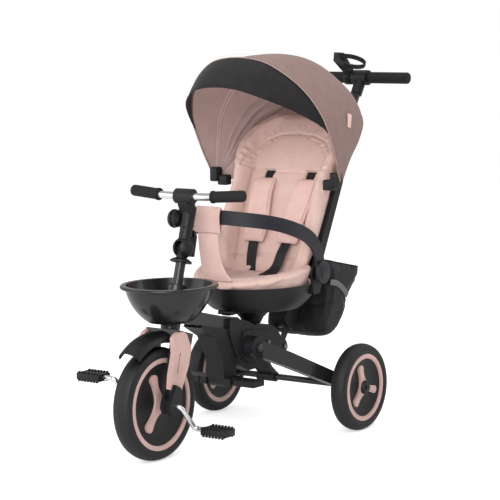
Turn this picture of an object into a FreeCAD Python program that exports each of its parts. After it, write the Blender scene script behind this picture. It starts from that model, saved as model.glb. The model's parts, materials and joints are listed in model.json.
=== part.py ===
import FreeCAD, Part
import math
import os
import Sketcher

# A folding push tricycle: +Z up, the front wheel towards -Y, the rider's left towards +X.
# The origin is under the middle of the whole length and width, on the floor.

DRIVING = {
    "front_y": (-396.0, "front axle, along the length"),
    "front_radius": (133.0, "front tyre outer radius"),
    "front_width": (48.0, "front tyre width"),
    "rear_y": (143.0, "rear axle, along the length"),
    "rear_radius": (108.0, "rear tyre outer radius"),
    "rear_width": (42.0, "rear tyre width"),
    "half_track": (220.0, "centre plane to a rear wheel's centre"),
    "tyre_depth": (25.0, "tyre section from rim to tread"),
    "rim_lip": (11.0, "height of the coloured rim band"),
    "axle_radius": (6.0, "crank, pedal and rear axle rods"),
    "running_gap": (0.05, "radial clearance of a turning fit"),
    "steer_y": (-334.0, "head tube reference point, along the length"),
    "steer_z": (302.0, "head tube reference point, height"),
    "rake": (16.6, "lean of the steering axis in degrees"),
    "head_radius": (23.0, "head tube outer radius"),
    "stem_radius": (12.0, "steering tube outer radius"),
    "crank_back": (35.0, "left pedal behind the front axle"),
    "crank_drop": (55.0, "left pedal below the front axle"),
    "pedal_reach": (188.0, "centre plane to a pedal spindle's end"),
    "bar_half": (157.0, "half length of the handlebar"),
    "grip_reach": (80.0, "length of a handlebar grip"),
    "bar_radius": (9.0, "handlebar tube radius"),
    "bar_y": (-269.0, "handlebar, along the length"),
    "bar_height": (606.0, "handlebar height"),
    "beam_half": (20.0, "half width of the main beam"),
    "hub_half": (30.0, "half width of the hub housing"),
    "fold_y": (-62.0, "fold pivot of the rear legs, along the length"),
    "fold_z": (222.0, "fold pivot of the rear legs, height"),
    "fold_radius": (6.0, "fold pivot bolt radius"),
    "swivel_y": (-5.0, "seat swivel axis, along the length"),
    "swivel_base": (270.0, "foot of the seat swivel"),
    "back_y": (62.0, "backrest pivot, along the length"),
    "back_z": (392.0, "backrest pivot, height"),
    "back_lean": (26.7, "lean of the backrest in degrees"),
    "back_length": (428.0, "backrest pivot to the top of the backrest"),
    "hood_y": (108.0, "canopy hub axis, along the length"),
    "hood_z": (608.0, "canopy hub axis, height"),
    "hood_front": (353.0, "canopy hub axis to the top of the front hoop"),
    "hood_top": (316.0, "canopy hub axis to the canopy over the rider"),
    "hood_rear": (292.0, "canopy hub axis to the rear edge"),
    "hood_skin": (2.0, "canopy cloth and stay thickness"),
    "hood_nest": (5.0, "how far the folding panel stands outside the fixed one"),
    "handle_y": (95.0, "push handle pivot, along the length"),
    "handle_z": (199.0, "push handle pivot, height"),
    "handle_lean": (32.0, "lean of the push handle in degrees"),
    "handle_length": (777.0, "push handle pivot to the push bar"),
    "tube_radius": (14.0, "lower push tube outer radius"),
    "inner_radius": (11.0, "upper push tube outer radius"),
    "grip_half": (145.0, "half length of the push bar"),
    "grip_radius": (15.0, "push bar radius"),
    "cup_radius": (36.0, "cup holder ring inner radius"),
    "bag_half": (90.0, "half width of the storage bag"),
}

doc = FreeCAD.newDocument("folding_tricycle")
sheet = doc.addObject("Spreadsheet::Sheet", "Dims")
for row, (alias, (value, note)) in enumerate(DRIVING.items(), start=1):
    sheet.set("A%d" % row, note)
    sheet.set("B%d" % row, str(value))
    sheet.setAlias("B%d" % row, alias)
doc.recompute()

NODES = {}


class Linked:
    """A size with the sheet expression that gives it, so that features stay bound to the sheet."""

    def __init__(self, value, text):
        self.value = float(value)
        self.text = text

    def join(self, other, sign, value):
        right = other.text if isinstance(other, Linked) else repr(float(other))
        return Linked(value, "(%s %s %s)" % (self.text, sign, right))

    def __add__(self, other):
        return self.join(other, "+", self.value + number(other))

    def __sub__(self, other):
        return self.join(other, "-", self.value - number(other))

    def __mul__(self, other):
        return self.join(other, "*", self.value * number(other))

    def __truediv__(self, other):
        return self.join(other, "/", self.value / number(other))

    def __neg__(self):
        return Linked(-self.value, "(-1 * %s)" % self.text)

    __radd__ = __add__
    __rmul__ = __mul__


def number(size):
    return size.value if isinstance(size, Linked) else float(size)


def dim(alias):
    return Linked(sheet.get(alias), "Dims." + alias)


def bind(obj, prop, size):
    """Sets a property, and binds it to the sheet where the size comes from there."""
    if isinstance(size, Linked):
        obj.setExpression(prop, size.text)


def place(obj, at, turn=None):
    """Puts an object at a point, turned about that point."""
    turn = turn or FreeCAD.Rotation()
    obj.Placement = FreeCAD.Placement(FreeCAD.Vector(*[number(v) for v in at]), turn)
    for letter, size in zip("xyz", at):
        bind(obj, "Placement.Base." + letter, size)
    return obj


AXIS_TURNS = {
    "x": FreeCAD.Rotation(FreeCAD.Vector(0, 1, 0), 90),
    "y": FreeCAD.Rotation(FreeCAD.Vector(1, 0, 0), -90),
    "z": FreeCAD.Rotation(),
}


def tilt_x(degrees):
    return FreeCAD.Rotation(FreeCAD.Vector(1, 0, 0), degrees)


STEER_TURN = tilt_x(-number(dim("rake")))
BACK_TURN = tilt_x(-number(dim("back_lean")))
HANDLE_TURN = tilt_x(-number(dim("handle_lean")))
STEER_AT = (0.0, dim("steer_y"), dim("steer_z"))
BACK_AT = (0.0, dim("back_y"), dim("back_z"))
HANDLE_AT = (0.0, dim("handle_y"), dim("handle_z"))


def frame_point(at, turn, x, y, z):
    """The world point of a point given in a leaning part's own frame."""
    base = FreeCAD.Vector(*[number(v) for v in at])
    return base + turn.multVec(FreeCAD.Vector(x, y, z))


def low_end(near, far, sign):
    """The low X of a span given for the left side, on either side of the middle."""
    return min(near * sign, far * sign)


def span_on(near, far, sign):
    """Both ends of such a span, low one first."""
    return sorted((near * sign, far * sign))


def rod(name, radius, length, start, along="z", at=None, turn=None):
    """A cylinder from a start point along one axis, in the world or in a leaning frame."""
    obj = doc.addObject("Part::Cylinder", name)
    obj.Radius = number(radius)
    obj.Height = number(length)
    bind(obj, "Radius", radius)
    bind(obj, "Height", length)
    if at is None:
        return place(obj, start, AXIS_TURNS[along])
    point = frame_point(at, turn, *[number(v) for v in start])
    return place(obj, (point.x, point.y, point.z), turn.multiply(AXIS_TURNS[along]))


def block(name, size, corner, at=None, turn=None):
    """A box from its low corner, in the world or in a leaning frame."""
    obj = doc.addObject("Part::Box", name)
    for prop, value in zip(("Length", "Width", "Height"), size):
        setattr(obj, prop, number(value))
        bind(obj, prop, value)
    if at is None:
        return place(obj, corner)
    point = frame_point(at, turn, *[number(v) for v in corner])
    return place(obj, (point.x, point.y, point.z), turn)


def merge(name, pieces):
    obj = doc.addObject("Part::MultiFuse", name)
    obj.Shapes = pieces
    obj.Refine = True
    return obj


def carve(name, base, tools):
    """The base with each tool taken away from it."""
    for index, tool in enumerate(tools):
        last = index == len(tools) - 1
        cut = doc.addObject("Part::Cut", name if last else "%s_step_%d" % (name, index))
        cut.Base = base
        cut.Tool = tool
        base = cut
    return base


def overlap(name, first, second):
    obj = doc.addObject("Part::Common", name)
    obj.Base = first
    obj.Tool = second
    return obj


def group(name, pieces):
    """Identical or paired pieces kept as separate solids of one node."""
    obj = doc.addObject("Part::Compound", name)
    obj.Links = pieces
    return obj


def node(name, obj):
    obj.Label = name
    NODES[name] = obj
    return obj


def draw(sketch, path):
    """Closed outline: each step is a corner, or a point on an arc and then its end corner.

    The first step closes the outline, so an arc there runs from the last corner to the first.
    """
    for index, step in enumerate(path):
        start = path[index - 1][-1]
        end = step[-1]
        first = FreeCAD.Vector(number(start[0]), number(start[1]), 0)
        last = FreeCAD.Vector(number(end[0]), number(end[1]), 0)
        if len(step) == 1:
            edge = sketch.addGeometry(Part.LineSegment(first, last), False)
            hold(sketch, edge, 1, start)
            hold(sketch, edge, 2, end)
            continue
        through = FreeCAD.Vector(number(step[0][0]), number(step[0][1]), 0)
        edge = sketch.addGeometry(Part.Arc(first, through, last), False)
        forwards = (sketch.getPoint(edge, 1) - first).Length < (sketch.getPoint(edge, 1) - last).Length
        near, far = (1, 2) if forwards else (2, 1)
        hold(sketch, edge, near, start)
        hold(sketch, edge, far, end)
        reach = sketch.Geometry[edge].Center - first
        flat = abs(last.x - first.x) > abs(last.y - first.y)
        kind, bulge = ("DistanceY", reach.y) if flat else ("DistanceX", reach.x)
        sketch.addConstraint(Sketcher.Constraint(kind, edge, near, edge, 3, bulge))


def hold(sketch, edge, vertex, point):
    for kind, size in zip(("DistanceX", "DistanceY"), point):
        made = sketch.addConstraint(Sketcher.Constraint(kind, -1, 1, edge, vertex, number(size)))
        if isinstance(size, Linked):
            sketch.setExpression("Constraints[%d]" % made, size.text)


def sketch_in(body, plane, path, offset=0.0):
    sketch = body.newObject("Sketcher::SketchObject", body.Name + "_outline")
    plane_feature = [f for f in body.Origin.OriginFeatures if f.Role == plane][0]
    sketch.AttachmentSupport = [(plane_feature, "")]
    sketch.MapMode = "FlatFace"
    sketch.AttachmentOffset = FreeCAD.Placement(
        FreeCAD.Vector(0, 0, number(offset)), FreeCAD.Rotation())
    bind(sketch, "AttachmentOffset.Base.z", offset)
    draw(sketch, path)
    return sketch


def slab(name, path, low, high, plane="YZ_Plane", at=None, turn=None):
    """An outline padded from one offset to another, across X for an outline in the YZ plane."""
    body = doc.addObject("PartDesign::Body", name)
    sketch = sketch_in(body, plane, path, low)
    pad = body.newObject("PartDesign::Pad", name + "_pad")
    pad.Profile = sketch
    thickness = high - low if isinstance(high, Linked) else number(high) - number(low)
    pad.Length = number(thickness)
    bind(pad, "Length", thickness)
    if at is not None:
        place(body, at, turn)
    return body


def turned(name, path, axis="V_Axis", at=None, turn=None, angle=360.0):
    """An outline turned about the sketch's own axis; its plane is XZ, or XY about H_Axis."""
    body = doc.addObject("PartDesign::Body", name)
    sketch = sketch_in(body, "XZ_Plane" if axis == "V_Axis" else "XY_Plane", path)
    turning = body.newObject("PartDesign::Revolution", name + "_turning")
    turning.Profile = sketch
    turning.ReferenceAxis = (sketch, [axis])
    turning.Angle = angle
    if at is not None:
        place(body, at, turn)
    return body


def free_form(name, shape):
    """A piece whose surface no primitive or sketch gives."""
    obj = doc.addObject("Part::Feature", name)
    obj.Shape = shape
    return obj


def pipe(points, radius, bend):
    """A round rod along straight runs joined by tangent arcs of one bend radius."""
    corners = [FreeCAD.Vector(*p) for p in points]
    edges = []
    start = corners[0]
    for before, corner, after in zip(corners, corners[1:], corners[2:]):
        back = (before - corner).normalize()
        ahead = (after - corner).normalize()
        half = back.getAngle(ahead) / 2
        reach = bend / math.tan(half)
        middle = (back + ahead).normalize()
        centre = corner + middle * (bend / math.sin(half))
        enter = corner + back * reach
        leave = corner + ahead * reach
        edges.append(Part.LineSegment(start, enter).toShape())
        edges.append(Part.Arc(enter, centre - middle * bend, leave).toShape())
        start = leave
    edges.append(Part.LineSegment(start, corners[-1]).toShape())
    path = Part.Wire(edges)
    circle = Part.Wire([Part.Circle(corners[0], corners[1] - corners[0], radius).toShape()])
    return path.makePipeShell([circle], True, True)


def polar(radius, degrees):
    turn = math.radians(degrees)
    return (radius * math.cos(turn), radius * math.sin(turn))


def star_path(tip, shoulder, valley, half_width, first_angle):
    """Three rounded lobes joined by hollow arcs, as a closed outline in the wheel's plane."""
    lobe_turn = math.degrees(math.asin(half_width / shoulder))
    path = []
    for lobe in range(3):
        angle = first_angle + 120.0 * lobe
        path.append((polar(valley, angle - 60.0), polar(shoulder, angle - lobe_turn)))
        path.append((polar(tip, angle), polar(shoulder, angle + lobe_turn)))
    return path


def wheel(end, suffix, centre, star, cap_side):
    """A soft tyre on a coloured rim whose three-lobed star shows through dark covers."""
    radius = dim(end + "_radius")
    half = dim(end + "_width") / 2
    rim_radius = radius - dim("tyre_depth")
    band = rim_radius - dim("rim_lip")
    bore = dim("axle_radius") + dim("running_gap")
    web_half = 3.0
    tyre_path = [
        ((-half, rim_radius + 12), (-half + 3, rim_radius)),
        ((half - 3, rim_radius),),
        ((half, rim_radius + 12), (half - 4, radius - 5)),
        ((0.0, radius), (-half + 4, radius - 5)),
    ]
    tyre = "%s_tyre%s" % (end, suffix)
    node(tyre, turned(tyre, tyre_path, "H_Axis", centre))

    rim = "%s_rim%s" % (end, suffix)
    rim_path = [
        ((-web_half, bore),),
        ((web_half, bore),),
        ((web_half, band),),
        ((half - 3, band),),
        ((half - 3, rim_radius),),
        ((-half + 3, rim_radius),),
        ((-half + 3, band),),
        ((-web_half, band),),
    ]
    hoop = turned(rim + "_hoop", rim_path, "H_Axis", centre)
    lobes = slab(rim + "_star", star_path(*star), -half + 6, half - 6, "YZ_Plane", centre)
    hole = rod(rim + "_bore", bore, 80.0, (centre[0] - 40.0, centre[1], centre[2]), "x")
    node(rim, carve(rim, merge(rim + "_whole", [hoop, lobes]), [hole]))

    discs = "%s_discs%s" % (end, suffix)
    covers = []
    cover_path = [
        ((web_half, bore),),
        ((web_half, band),),
        ((half - 7, band),),
        ((half - 13, band - 28), (half - 9, bore)),
    ]
    for word, degrees in (("outer", 0), ("inner", 180)):
        turn = FreeCAD.Rotation(FreeCAD.Vector(0, 0, 1), degrees)
        cover = turned("%s_%s" % (discs, word), cover_path, "H_Axis", centre, turn)
        covers.append(carve("%s_%s_cut" % (discs, word), cover, [NODES[rim]]))
    if cap_side:
        cap_path = [
            ((cap_side * (half - 6), bore),),
            ((cap_side * (half - 6), 17.0),),
            ((cap_side * (half + 2), 14.0),),
            ((cap_side * (half + 2), bore),),
        ]
        covers.append(turned(discs + "_cap", cap_path, "H_Axis", centre))
    node(discs, group(discs, covers))


FRONT_CENTRE = (0.0, dim("front_y"), dim("front_radius"))
FRONT_STAR = (76.0, 64.0, 19.0, 12.0, 110.0)
REAR_STAR = (58.0, 47.0, 17.0, 9.5, 105.0)


def wheels():
    wheel("front", "", FRONT_CENTRE, FRONT_STAR, 0)
    for suffix, sign in (("_left", 1), ("_right", -1)):
        centre = (dim("half_track") * sign, dim("rear_y"), dim("rear_radius"))
        wheel("rear", suffix, centre, REAR_STAR, sign)


def front_fork():
    """Crown on the steering axis, a leg on each side of the wheel, its covers and the mudguard."""
    crown = block("fork_crown", (98.0, 54.0, 28.7), (-49.0, -27.0, -34.0), STEER_AT, STEER_TURN)
    leg_path = [
        ((-376.0, 280.0),),
        ((-330.0, 266.0),),
        ((-338.0, 225.0),),
        ((-374.0, 133.0),),
        ((-396.0, 111.0), (-418.0, 133.0)),
        ((-396.0, 190.0),),
        ((-388.0, 235.0),),
    ]
    left = slab("fork_leg_left", leg_path, 32.0, 39.0)
    right = slab("fork_leg_right", leg_path, -39.0, -32.0)
    bore = rod("fork_bore", dim("axle_radius") + dim("running_gap"), 140.0,
               (-70.0, dim("front_y"), dim("front_radius")), "x")
    socket = rod("fork_socket", dim("stem_radius"), 60.0, (0.0, 0.0, -31.0), "z", STEER_AT, STEER_TURN)
    node("fork", carve("fork", merge("fork_whole", [crown, left, right]), [bore, socket]))

    cover_path = [
        ((-386.0, 288.0),),
        ((-360.0, 300.0), (-336.0, 292.0)),
        ((-319.0, 256.0),),
        ((-330.0, 218.0),),
        ((-362.0, 158.0),),
        ((-402.0, 172.0),),
        ((-398.0, 205.0),),
        ((-384.0, 252.0),),
    ]
    slot_path = [
        ((-364.0, 252.0),),
        ((-359.0, 252.0),),
        ((-372.0, 205.0),),
        ((-377.0, 205.0),),
    ]
    housing_path = [
        ((-374.0, 172.0),),
        ((-374.0, 133.0),),
        ((-396.0, 109.0), (-420.0, 133.0)),
        ((-392.0, 182.0),),
    ]
    covers = []
    housings = []
    for side, sign in (("left", 1), ("right", -1)):
        plate = slab("cover_" + side, cover_path, *span_on(39.0, 51.0, sign))
        slot = slab("cover_slot_" + side, slot_path, *span_on(48.0, 52.0, sign))
        covers.append(carve("cover_cut_" + side, plate, [slot, crown]))
        cap = slab("housing_" + side, housing_path, *span_on(51.0, 62.0, sign))
        spacer = rod("spacer_" + side, 21.0, 12.0,
                     (low_end(39.0, 51.0, sign), dim("front_y"), dim("front_radius")), "x")
        whole = merge("housing_whole_" + side, [cap, spacer])
        housings.append(carve("housing_cut_" + side, whole, [bore]))
    node("fork_covers", group("fork_covers", covers))
    node("hub_covers", group("hub_covers", housings))

    guard_path = [
        ((-31.0, 146.0),),
        ((0.0, 170.0), (31.0, 146.0)),
        ((28.5, 144.5),),
        ((0.0, 167.0), (-28.5, 144.5)),
    ]
    guard = turned("mudguard_sweep", guard_path, "H_Axis", FRONT_CENTRE, tilt_x(77.0), 51.0)
    node("front_mudguard", carve("front_mudguard", guard, [crown]))


KNUCKLE = 191.0


def steering_column():
    """Tube through the head tube, folding knuckle, stem with its bar clamp, and the stem lever."""
    tube = rod("steering_tube_outer", dim("stem_radius"), 196.0, (0.0, 0.0, -31.0), "z",
               STEER_AT, STEER_TURN)
    hollow = rod("steering_tube_bore", dim("stem_radius") - 2, 196.0, (0.0, 0.0, -31.0), "z",
                 STEER_AT, STEER_TURN)
    node("steering_tube", carve("steering_tube", tube, [hollow]))

    flange_path = [
        ((0.0, 165.0),),
        ((dim("stem_radius"), 165.0),),
        ((dim("stem_radius"), 156.0),),
        ((26.0, 156.0),),
        ((26.0, 160.0),),
        ((17.0, 165.5),),
        ((0.0, 165.5),),
    ]
    flange = turned("knuckle_flange", flange_path, "V_Axis", STEER_AT, STEER_TURN)
    tongue_path = [
        ((-11.0, 165.5),),
        ((11.0, 165.5),),
        ((11.0, KNUCKLE),),
        ((0.0, KNUCKLE + 11), (-11.0, KNUCKLE)),
    ]
    tongue = slab("knuckle_tongue", tongue_path, -8.0, 8.0, "YZ_Plane", STEER_AT, STEER_TURN)
    hole = rod("knuckle_hole", 5.0 + dim("running_gap"), 30.0, (-15.0, 0.0, KNUCKLE), "x",
               STEER_AT, STEER_TURN)
    whole = merge("knuckle_whole", [flange, tongue])
    node("stem_knuckle", carve("stem_knuckle", whole, [hole]))

    ball_path = [
        ((0.0, KNUCKLE - 25),),
        ((25.0, KNUCKLE), (15.0, KNUCKLE + 20)),
        ((15.0, 236.0),),
        ((16.5, 240.0),),
        ((16.5, 290.0),),
        ((0.0, 290.0),),
    ]
    ball = turned("stem_ball", ball_path, "V_Axis", STEER_AT, STEER_TURN)
    neck_path = [
        ((-270.0, 566.0),),
        ((-250.0, 566.0),),
        ((-251.5, 604.0),),
        ((-286.5, 604.0),),
    ]
    neck = slab("stem_neck", neck_path, -15.0, 15.0)
    clamp = rod("stem_clamp", 18.0, 48.0, (-24.0, dim("bar_y"), dim("bar_height")), "x")
    lug = block("stem_lug", (10.0, 16.0, 16.0), (-5.0, 12.0, 222.0), STEER_AT, STEER_TURN)
    slot = block("stem_slot", (16.6, 60.0, 44.0), (-8.3, -30.0, KNUCKLE - 31.5), STEER_AT, STEER_TURN)
    bar_hole = rod("stem_bar_hole", dim("bar_radius"), 60.0,
                   (-30.0, dim("bar_y"), dim("bar_height")), "x")
    lever_hole = rod("stem_lever_hole", 2.0, 30.0, (-15.0, 23.0, 230.0), "x", STEER_AT, STEER_TURN)
    body = carve("stem_body", merge("stem_whole", [ball, neck, clamp, lug]), [slot, bar_hole, lever_hole])
    pin = rod("stem_pin", 5.0, 46.0, (-23.0, 0.0, KNUCKLE), "x", STEER_AT, STEER_TURN)
    node("handlebar_stem", merge("handlebar_stem", [body, pin]))

    lever_path = [
        ((28.6, 234.0),),
        ((22.4, 236.0),),
        ((19.0, 230.0),),
        ((27.5, 222.0),),
        ((32.0, 176.0),),
        ((37.0, 176.0),),
        ((35.0, 224.0),),
    ]
    cheeks = slab("lever_cheeks", lever_path, -9.0, 9.0, "YZ_Plane", STEER_AT, STEER_TURN)
    relief = block("lever_relief", (10.6, 20.0, 30.0), (-5.3, 11.0, 212.0), STEER_AT, STEER_TURN)
    spindle = rod("lever_pin", 1.95, 18.0, (-9.0, 23.0, 230.0), "x", STEER_AT, STEER_TURN)
    node("stem_lever", merge("stem_lever", [carve("lever_plate", cheeks, [relief]), spindle]))


def handlebar_group():
    """Chrome bar, a grip on each end, and the bell beside the stem."""
    half = number(dim("bar_half"))
    y = number(dim("bar_y"))
    z = number(dim("bar_height"))
    sweep = FreeCAD.Vector(0, 10, 6)
    ends = [FreeCAD.Vector(side * half, y, z) + sweep for side in (-1, 1)]
    middle = [FreeCAD.Vector(side * 60.0, y, z) for side in (-1, 1)]
    bar = pipe([ends[0], middle[0], middle[1], ends[1]], number(dim("bar_radius")), 160.0)
    node("handlebar", free_form("handlebar", bar))
    for name, side in (("grip_left", 1), ("grip_right", 0)):
        direction = (ends[side] - middle[side]).normalize()
        reach = number(dim("grip_reach"))
        start = ends[side] - direction * reach
        sleeve = Part.makeCylinder(13.5, reach, start, direction)
        collar = Part.makeCylinder(14.8, 5.0, start, direction)
        cap = Part.makeSphere(13.5, ends[side]).common(
            Part.makeCylinder(14.0, 5.0, ends[side], direction))
        shape = sleeve.fuse([collar, cap]).cut(bar)
        node(name, free_form(name, shape.removeSplitter()))

    at = frame_point(STEER_AT, STEER_TURN, 0.0, -8.0, 258.0)
    base_path = [
        ((-30.0, 0.0),),
        ((-14.0, 0.0),),
        ((-14.0, 10.0),),
        ((-22.0, 20.0),),
        ((-30.0, 20.0),),
    ]
    base = turned("bell_disc", base_path, "H_Axis", (0.0, at.y, at.z))
    post = rod("bell_post", 4.0, 14.0, (-43.0, at.y, at.z), "x")
    column = rod("bell_clearance", 16.5, 58.0, (0.0, 0.0, 240.0), "z", STEER_AT, STEER_TURN)
    node("bell_base", carve("bell_base", merge("bell_whole", [base, post]), [column]))
    dome_path = [
        ((-43.0, 4.05),),
        ((-30.3, 4.05),),
        ((-30.3, 22.0),),
        ((-38.0, 21.0), (-43.0, 14.0)),
    ]
    node("bell_dome", turned("bell_dome", dome_path, "H_Axis", (0.0, at.y, at.z)))


def ellipse_wire(height, half_x, half_y, middle_y):
    """A closed level outline, drawn as four arcs of one ellipse."""
    big, small = max(half_x, half_y), min(half_x, half_y)
    curve = Part.Ellipse(FreeCAD.Vector(0, 0, 0), big, small)
    if half_y > half_x:
        curve.rotate(FreeCAD.Placement(FreeCAD.Vector(), FreeCAD.Vector(0, 0, 1), 90))
    curve.translate(FreeCAD.Vector(0, middle_y, height))
    return Part.Wire([curve.toShape()])


def tub(levels):
    """A solid through level ellipses, each given as height, half X, half Y and middle Y."""
    return Part.makeLoft([ellipse_wire(*level) for level in levels], True, False)


def head_and_bowl():
    """Head tube, its two flanged bushes, and the toy bowl that sits around it."""
    shell = rod("head_shell", dim("head_radius"), 102.0, (0.0, 0.0, -2.0), "z", STEER_AT, STEER_TURN)
    hollow = rod("head_hollow", 17.0, 102.0, (0.0, 0.0, -2.0), "z", STEER_AT, STEER_TURN)
    node("head_tube", carve("head_tube", shell, [hollow]))
    bore = dim("stem_radius") + dim("running_gap")
    bushes = []
    for word, flange, seat, foot in (("lower", -5.0, -2.0, 14.0), ("upper", 103.0, 100.0, 84.0)):
        path = [
            ((bore, flange),),
            ((21.0, flange),),
            ((21.0, seat),),
            ((17.0, seat),),
            ((17.0, foot),),
            ((bore, foot),),
        ]
        bushes.append(turned("bush_" + word, path, "V_Axis", STEER_AT, STEER_TURN))
    node("head_bearings", group("head_bearings", bushes))

    middle = number(dim("steer_y")) - 1.0
    outer = tub([(318.0, 50.0, 52.0, middle), (340.0, 74.0, 78.0, middle),
                 (370.0, 92.0, 98.0, middle), (399.0, 101.0, 108.0, middle)])
    lip = tub([(398.0, 110.0, 118.0, middle), (402.0, 112.5, 120.5, middle),
               (406.0, 110.0, 118.0, middle)])
    inner = tub([(334.0, 58.0, 62.0, middle), (345.0, 73.0, 77.0, middle),
                 (372.0, 89.0, 95.0, middle), (407.0, 99.0, 106.0, middle)])
    shaft = rod("bowl_shaft", dim("head_radius"), 140.0, (0.0, 0.0, -4.0), "z", STEER_AT, STEER_TURN)
    return free_form("bowl_solid", outer.fuse(lip).cut(inner)), shaft


def frame_parts():
    """Main beam, hub housing with its plates and bolts, and the foot rest's bracket and pegs."""
    bowl, shaft = head_and_bowl()
    beam_path = [
        ((-326.0, 324.0),),
        ((-326.0, 348.0),),
        ((-245.0, 330.0),),
        ((-121.0, 300.0),),
        ((-98.0, 298.0),),
        ((-78.0, 277.0), (-98.0, 257.0)),
        ((-226.0, 289.5),),
        ((-292.0, 310.0),),
    ]
    half = dim("beam_half")
    beam = slab("beam_slab", beam_path, -half, half)
    node("main_beam", carve("main_beam", beam, [shaft]))
    node("front_bowl", carve("front_bowl", bowl, [shaft, beam]))

    hub_path = [
        ((-140.0, 266.0),),
        ((-136.0, 298.0),),
        ((-100.0, 294.0), (-62.0, 284.0)),
        ((-30.0, 269.5),),
        ((30.0, 264.0),),
        ((62.0, 248.0),),
        ((84.0, 222.0),),
        ((104.0, 209.0), (108.0, 194.0)),
        ((98.0, 184.0),),
        ((70.0, 188.0),),
        ((38.0, 180.0),),
        ((0.0, 163.0),),
        ((-62.0, 162.0),),
        ((-95.0, 178.0),),
        ((-118.0, 215.0),),
    ]
    hub = dim("hub_half")
    housing = slab("hub_slab", hub_path, -hub, hub)
    pivot = rod("hub_pivot_hole", dim("fold_radius"), 80.0, (-40.0, dim("fold_y"), dim("fold_z")), "x")
    handle_hole = rod("hub_handle_hole", 6.0, 80.0, (-40.0, dim("handle_y"), dim("handle_z")), "x")
    post = rod("hub_post_hole", 10.05, 60.0, (0.0, dim("swivel_y"), 224.0))
    slot = block("hub_slot", (36.6, 60.0, 140.0), (-18.3, 62.0, 170.0))
    tail_bolt = rod("hub_tail_hole", 5.0, 80.0, (-40.0, 19.0, 221.0), "x")
    node("hub_housing", carve("hub_housing", housing, [beam, pivot, handle_hole, post, slot, tail_bolt]))

    plate_path = [
        ((-92.0, 232.0),),
        ((-88.0, 262.0),),
        ((-40.0, 262.0),),
        ((26.0, 250.0),),
        ((46.0, 226.0), (34.0, 200.0)),
        ((0.0, 180.0),),
        ((-60.0, 178.0),),
        ((-90.0, 198.0),),
    ]
    plates = []
    for side, sign in (("left", 1), ("right", -1)):
        plate = slab("plate_" + side, plate_path, *span_on(30.0, 34.0, sign))
        plates.append(carve("plate_cut_" + side, plate, [pivot, tail_bolt]))
    node("hub_side_plates", group("hub_side_plates", plates))

    bolts = [
        rod("bolt_fold", dim("fold_radius"), 128.0, (-64.0, dim("fold_y"), dim("fold_z")), "x"),
        rod("bolt_tail", 5.0, 72.0, (-36.0, 19.0, 221.0), "x"),
        rod("bolt_handle", 6.0, 66.0, (-33.0, dim("handle_y"), dim("handle_z")), "x"),
    ]
    for word, x in (("left", 64.0), ("right", -68.0)):
        bolts.append(rod("bolt_head_" + word, 10.0, 4.0, (x, dim("fold_y"), dim("fold_z")), "x"))
    node("hub_bolts", group("hub_bolts", [
        merge("bolt_fold_whole", [bolts[0], bolts[3], bolts[4]]), bolts[1], bolts[2]]))

    bracket_path = [
        ((-250.0, 292.0),),
        ((-244.0, 298.0),),
        ((-121.0, 270.0),),
        ((-104.0, 215.0),),
        ((-112.0, 148.0),),
        ((-135.0, 132.0), (-158.0, 148.0)),
        ((-163.0, 205.0),),
        ((-196.0, 262.0),),
    ]
    body = slab("bracket_slab", bracket_path, -26.0, 26.0)
    pieces = [carve("bracket_cut", body, [beam, housing])]
    for side, sign in (("left", 1), ("right", -1)):
        low = low_end(26.0, 45.0, sign)
        for word, y in (("front", -162.0), ("rear", -118.0)):
            pieces.append(block("lug_%s_%s" % (word, side), (19.0, 10.0, 18.0), (low, y, 139.0)))
        pieces.append(rod("peg_pin_" + side, 4.0, 50.0, (36.0 * sign, -160.0, 148.0), "y"))
        peg = block("peg_plate_" + side, (68.0, 33.0, 12.0), (low_end(44.0, 112.0, sign), -151.5, 142.0))
        knuckle = rod("peg_knuckle_" + side, 8.0, 33.0, (36.0 * sign, -151.5, 148.0), "y")
        bridge = block("peg_bridge_" + side, (10.0, 33.0, 10.0),
                       (low_end(36.0, 46.0, sign), -151.5, 143.0))
        pad = block("peg_pad_" + side, (60.0, 44.0, 14.0), (low_end(52.0, 112.0, sign), -157.0, 141.0))
        hole = rod("peg_hole_" + side, 4.0 + dim("running_gap"), 60.0, (36.0 * sign, -165.0, 148.0), "y")
        name = "foot_peg_" + side
        node(name, carve(name, merge(name + "_whole", [peg, knuckle, bridge, pad]), [hole]))
    node("footrest_bracket", merge("footrest_bracket", pieces))


def crank_and_pedals():
    """One bent rod through the wheel, with a pedal turning on each end."""
    y, z = number(dim("front_y")), number(dim("front_radius"))
    back, drop = number(dim("crank_back")), number(dim("crank_drop"))
    reach, radius = number(dim("pedal_reach")), number(dim("axle_radius"))
    points = [(-reach, y - back, z + drop), (-90.0, y - back, z + drop), (-76.0, y, z),
              (76.0, y, z), (90.0, y + back, z - drop), (reach, y + back, z - drop)]
    node("crank", free_form("crank", pipe(points, radius, 12.0)))
    pedal_path = [
        ((-23.0, -6.0),),
        ((-16.0, -13.0),),
        ((16.0, -13.0),),
        ((23.0, -6.0),),
        ((23.0, 6.0),),
        ((16.0, 13.0),),
        ((-16.0, 13.0),),
        ((-23.0, 6.0),),
    ]
    for side, sign in (("left", 1), ("right", -1)):
        name = "pedal_" + side
        at = (0.0, dim("front_y") + dim("crank_back") * sign,
              dim("front_radius") - dim("crank_drop") * sign)
        low = low_end(120.0, 190.0, sign)
        pad = slab(name + "_pad", pedal_path, low, low + 70.0, "YZ_Plane", at)
        hole = rod(name + "_hole", dim("axle_radius") + dim("running_gap"), 110.0,
                   (low_end(100.0, 210.0, sign), at[1], at[2]), "x")
        node(name, carve(name, pad, [hole]))


def box_wire(y, low_x, high_x, low_z, high_z):
    corners = [(low_x, low_z), (high_x, low_z), (high_x, high_z), (low_x, high_z), (low_x, low_z)]
    return Part.makePolygon([FreeCAD.Vector(x, y, z) for x, z in corners])


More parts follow.
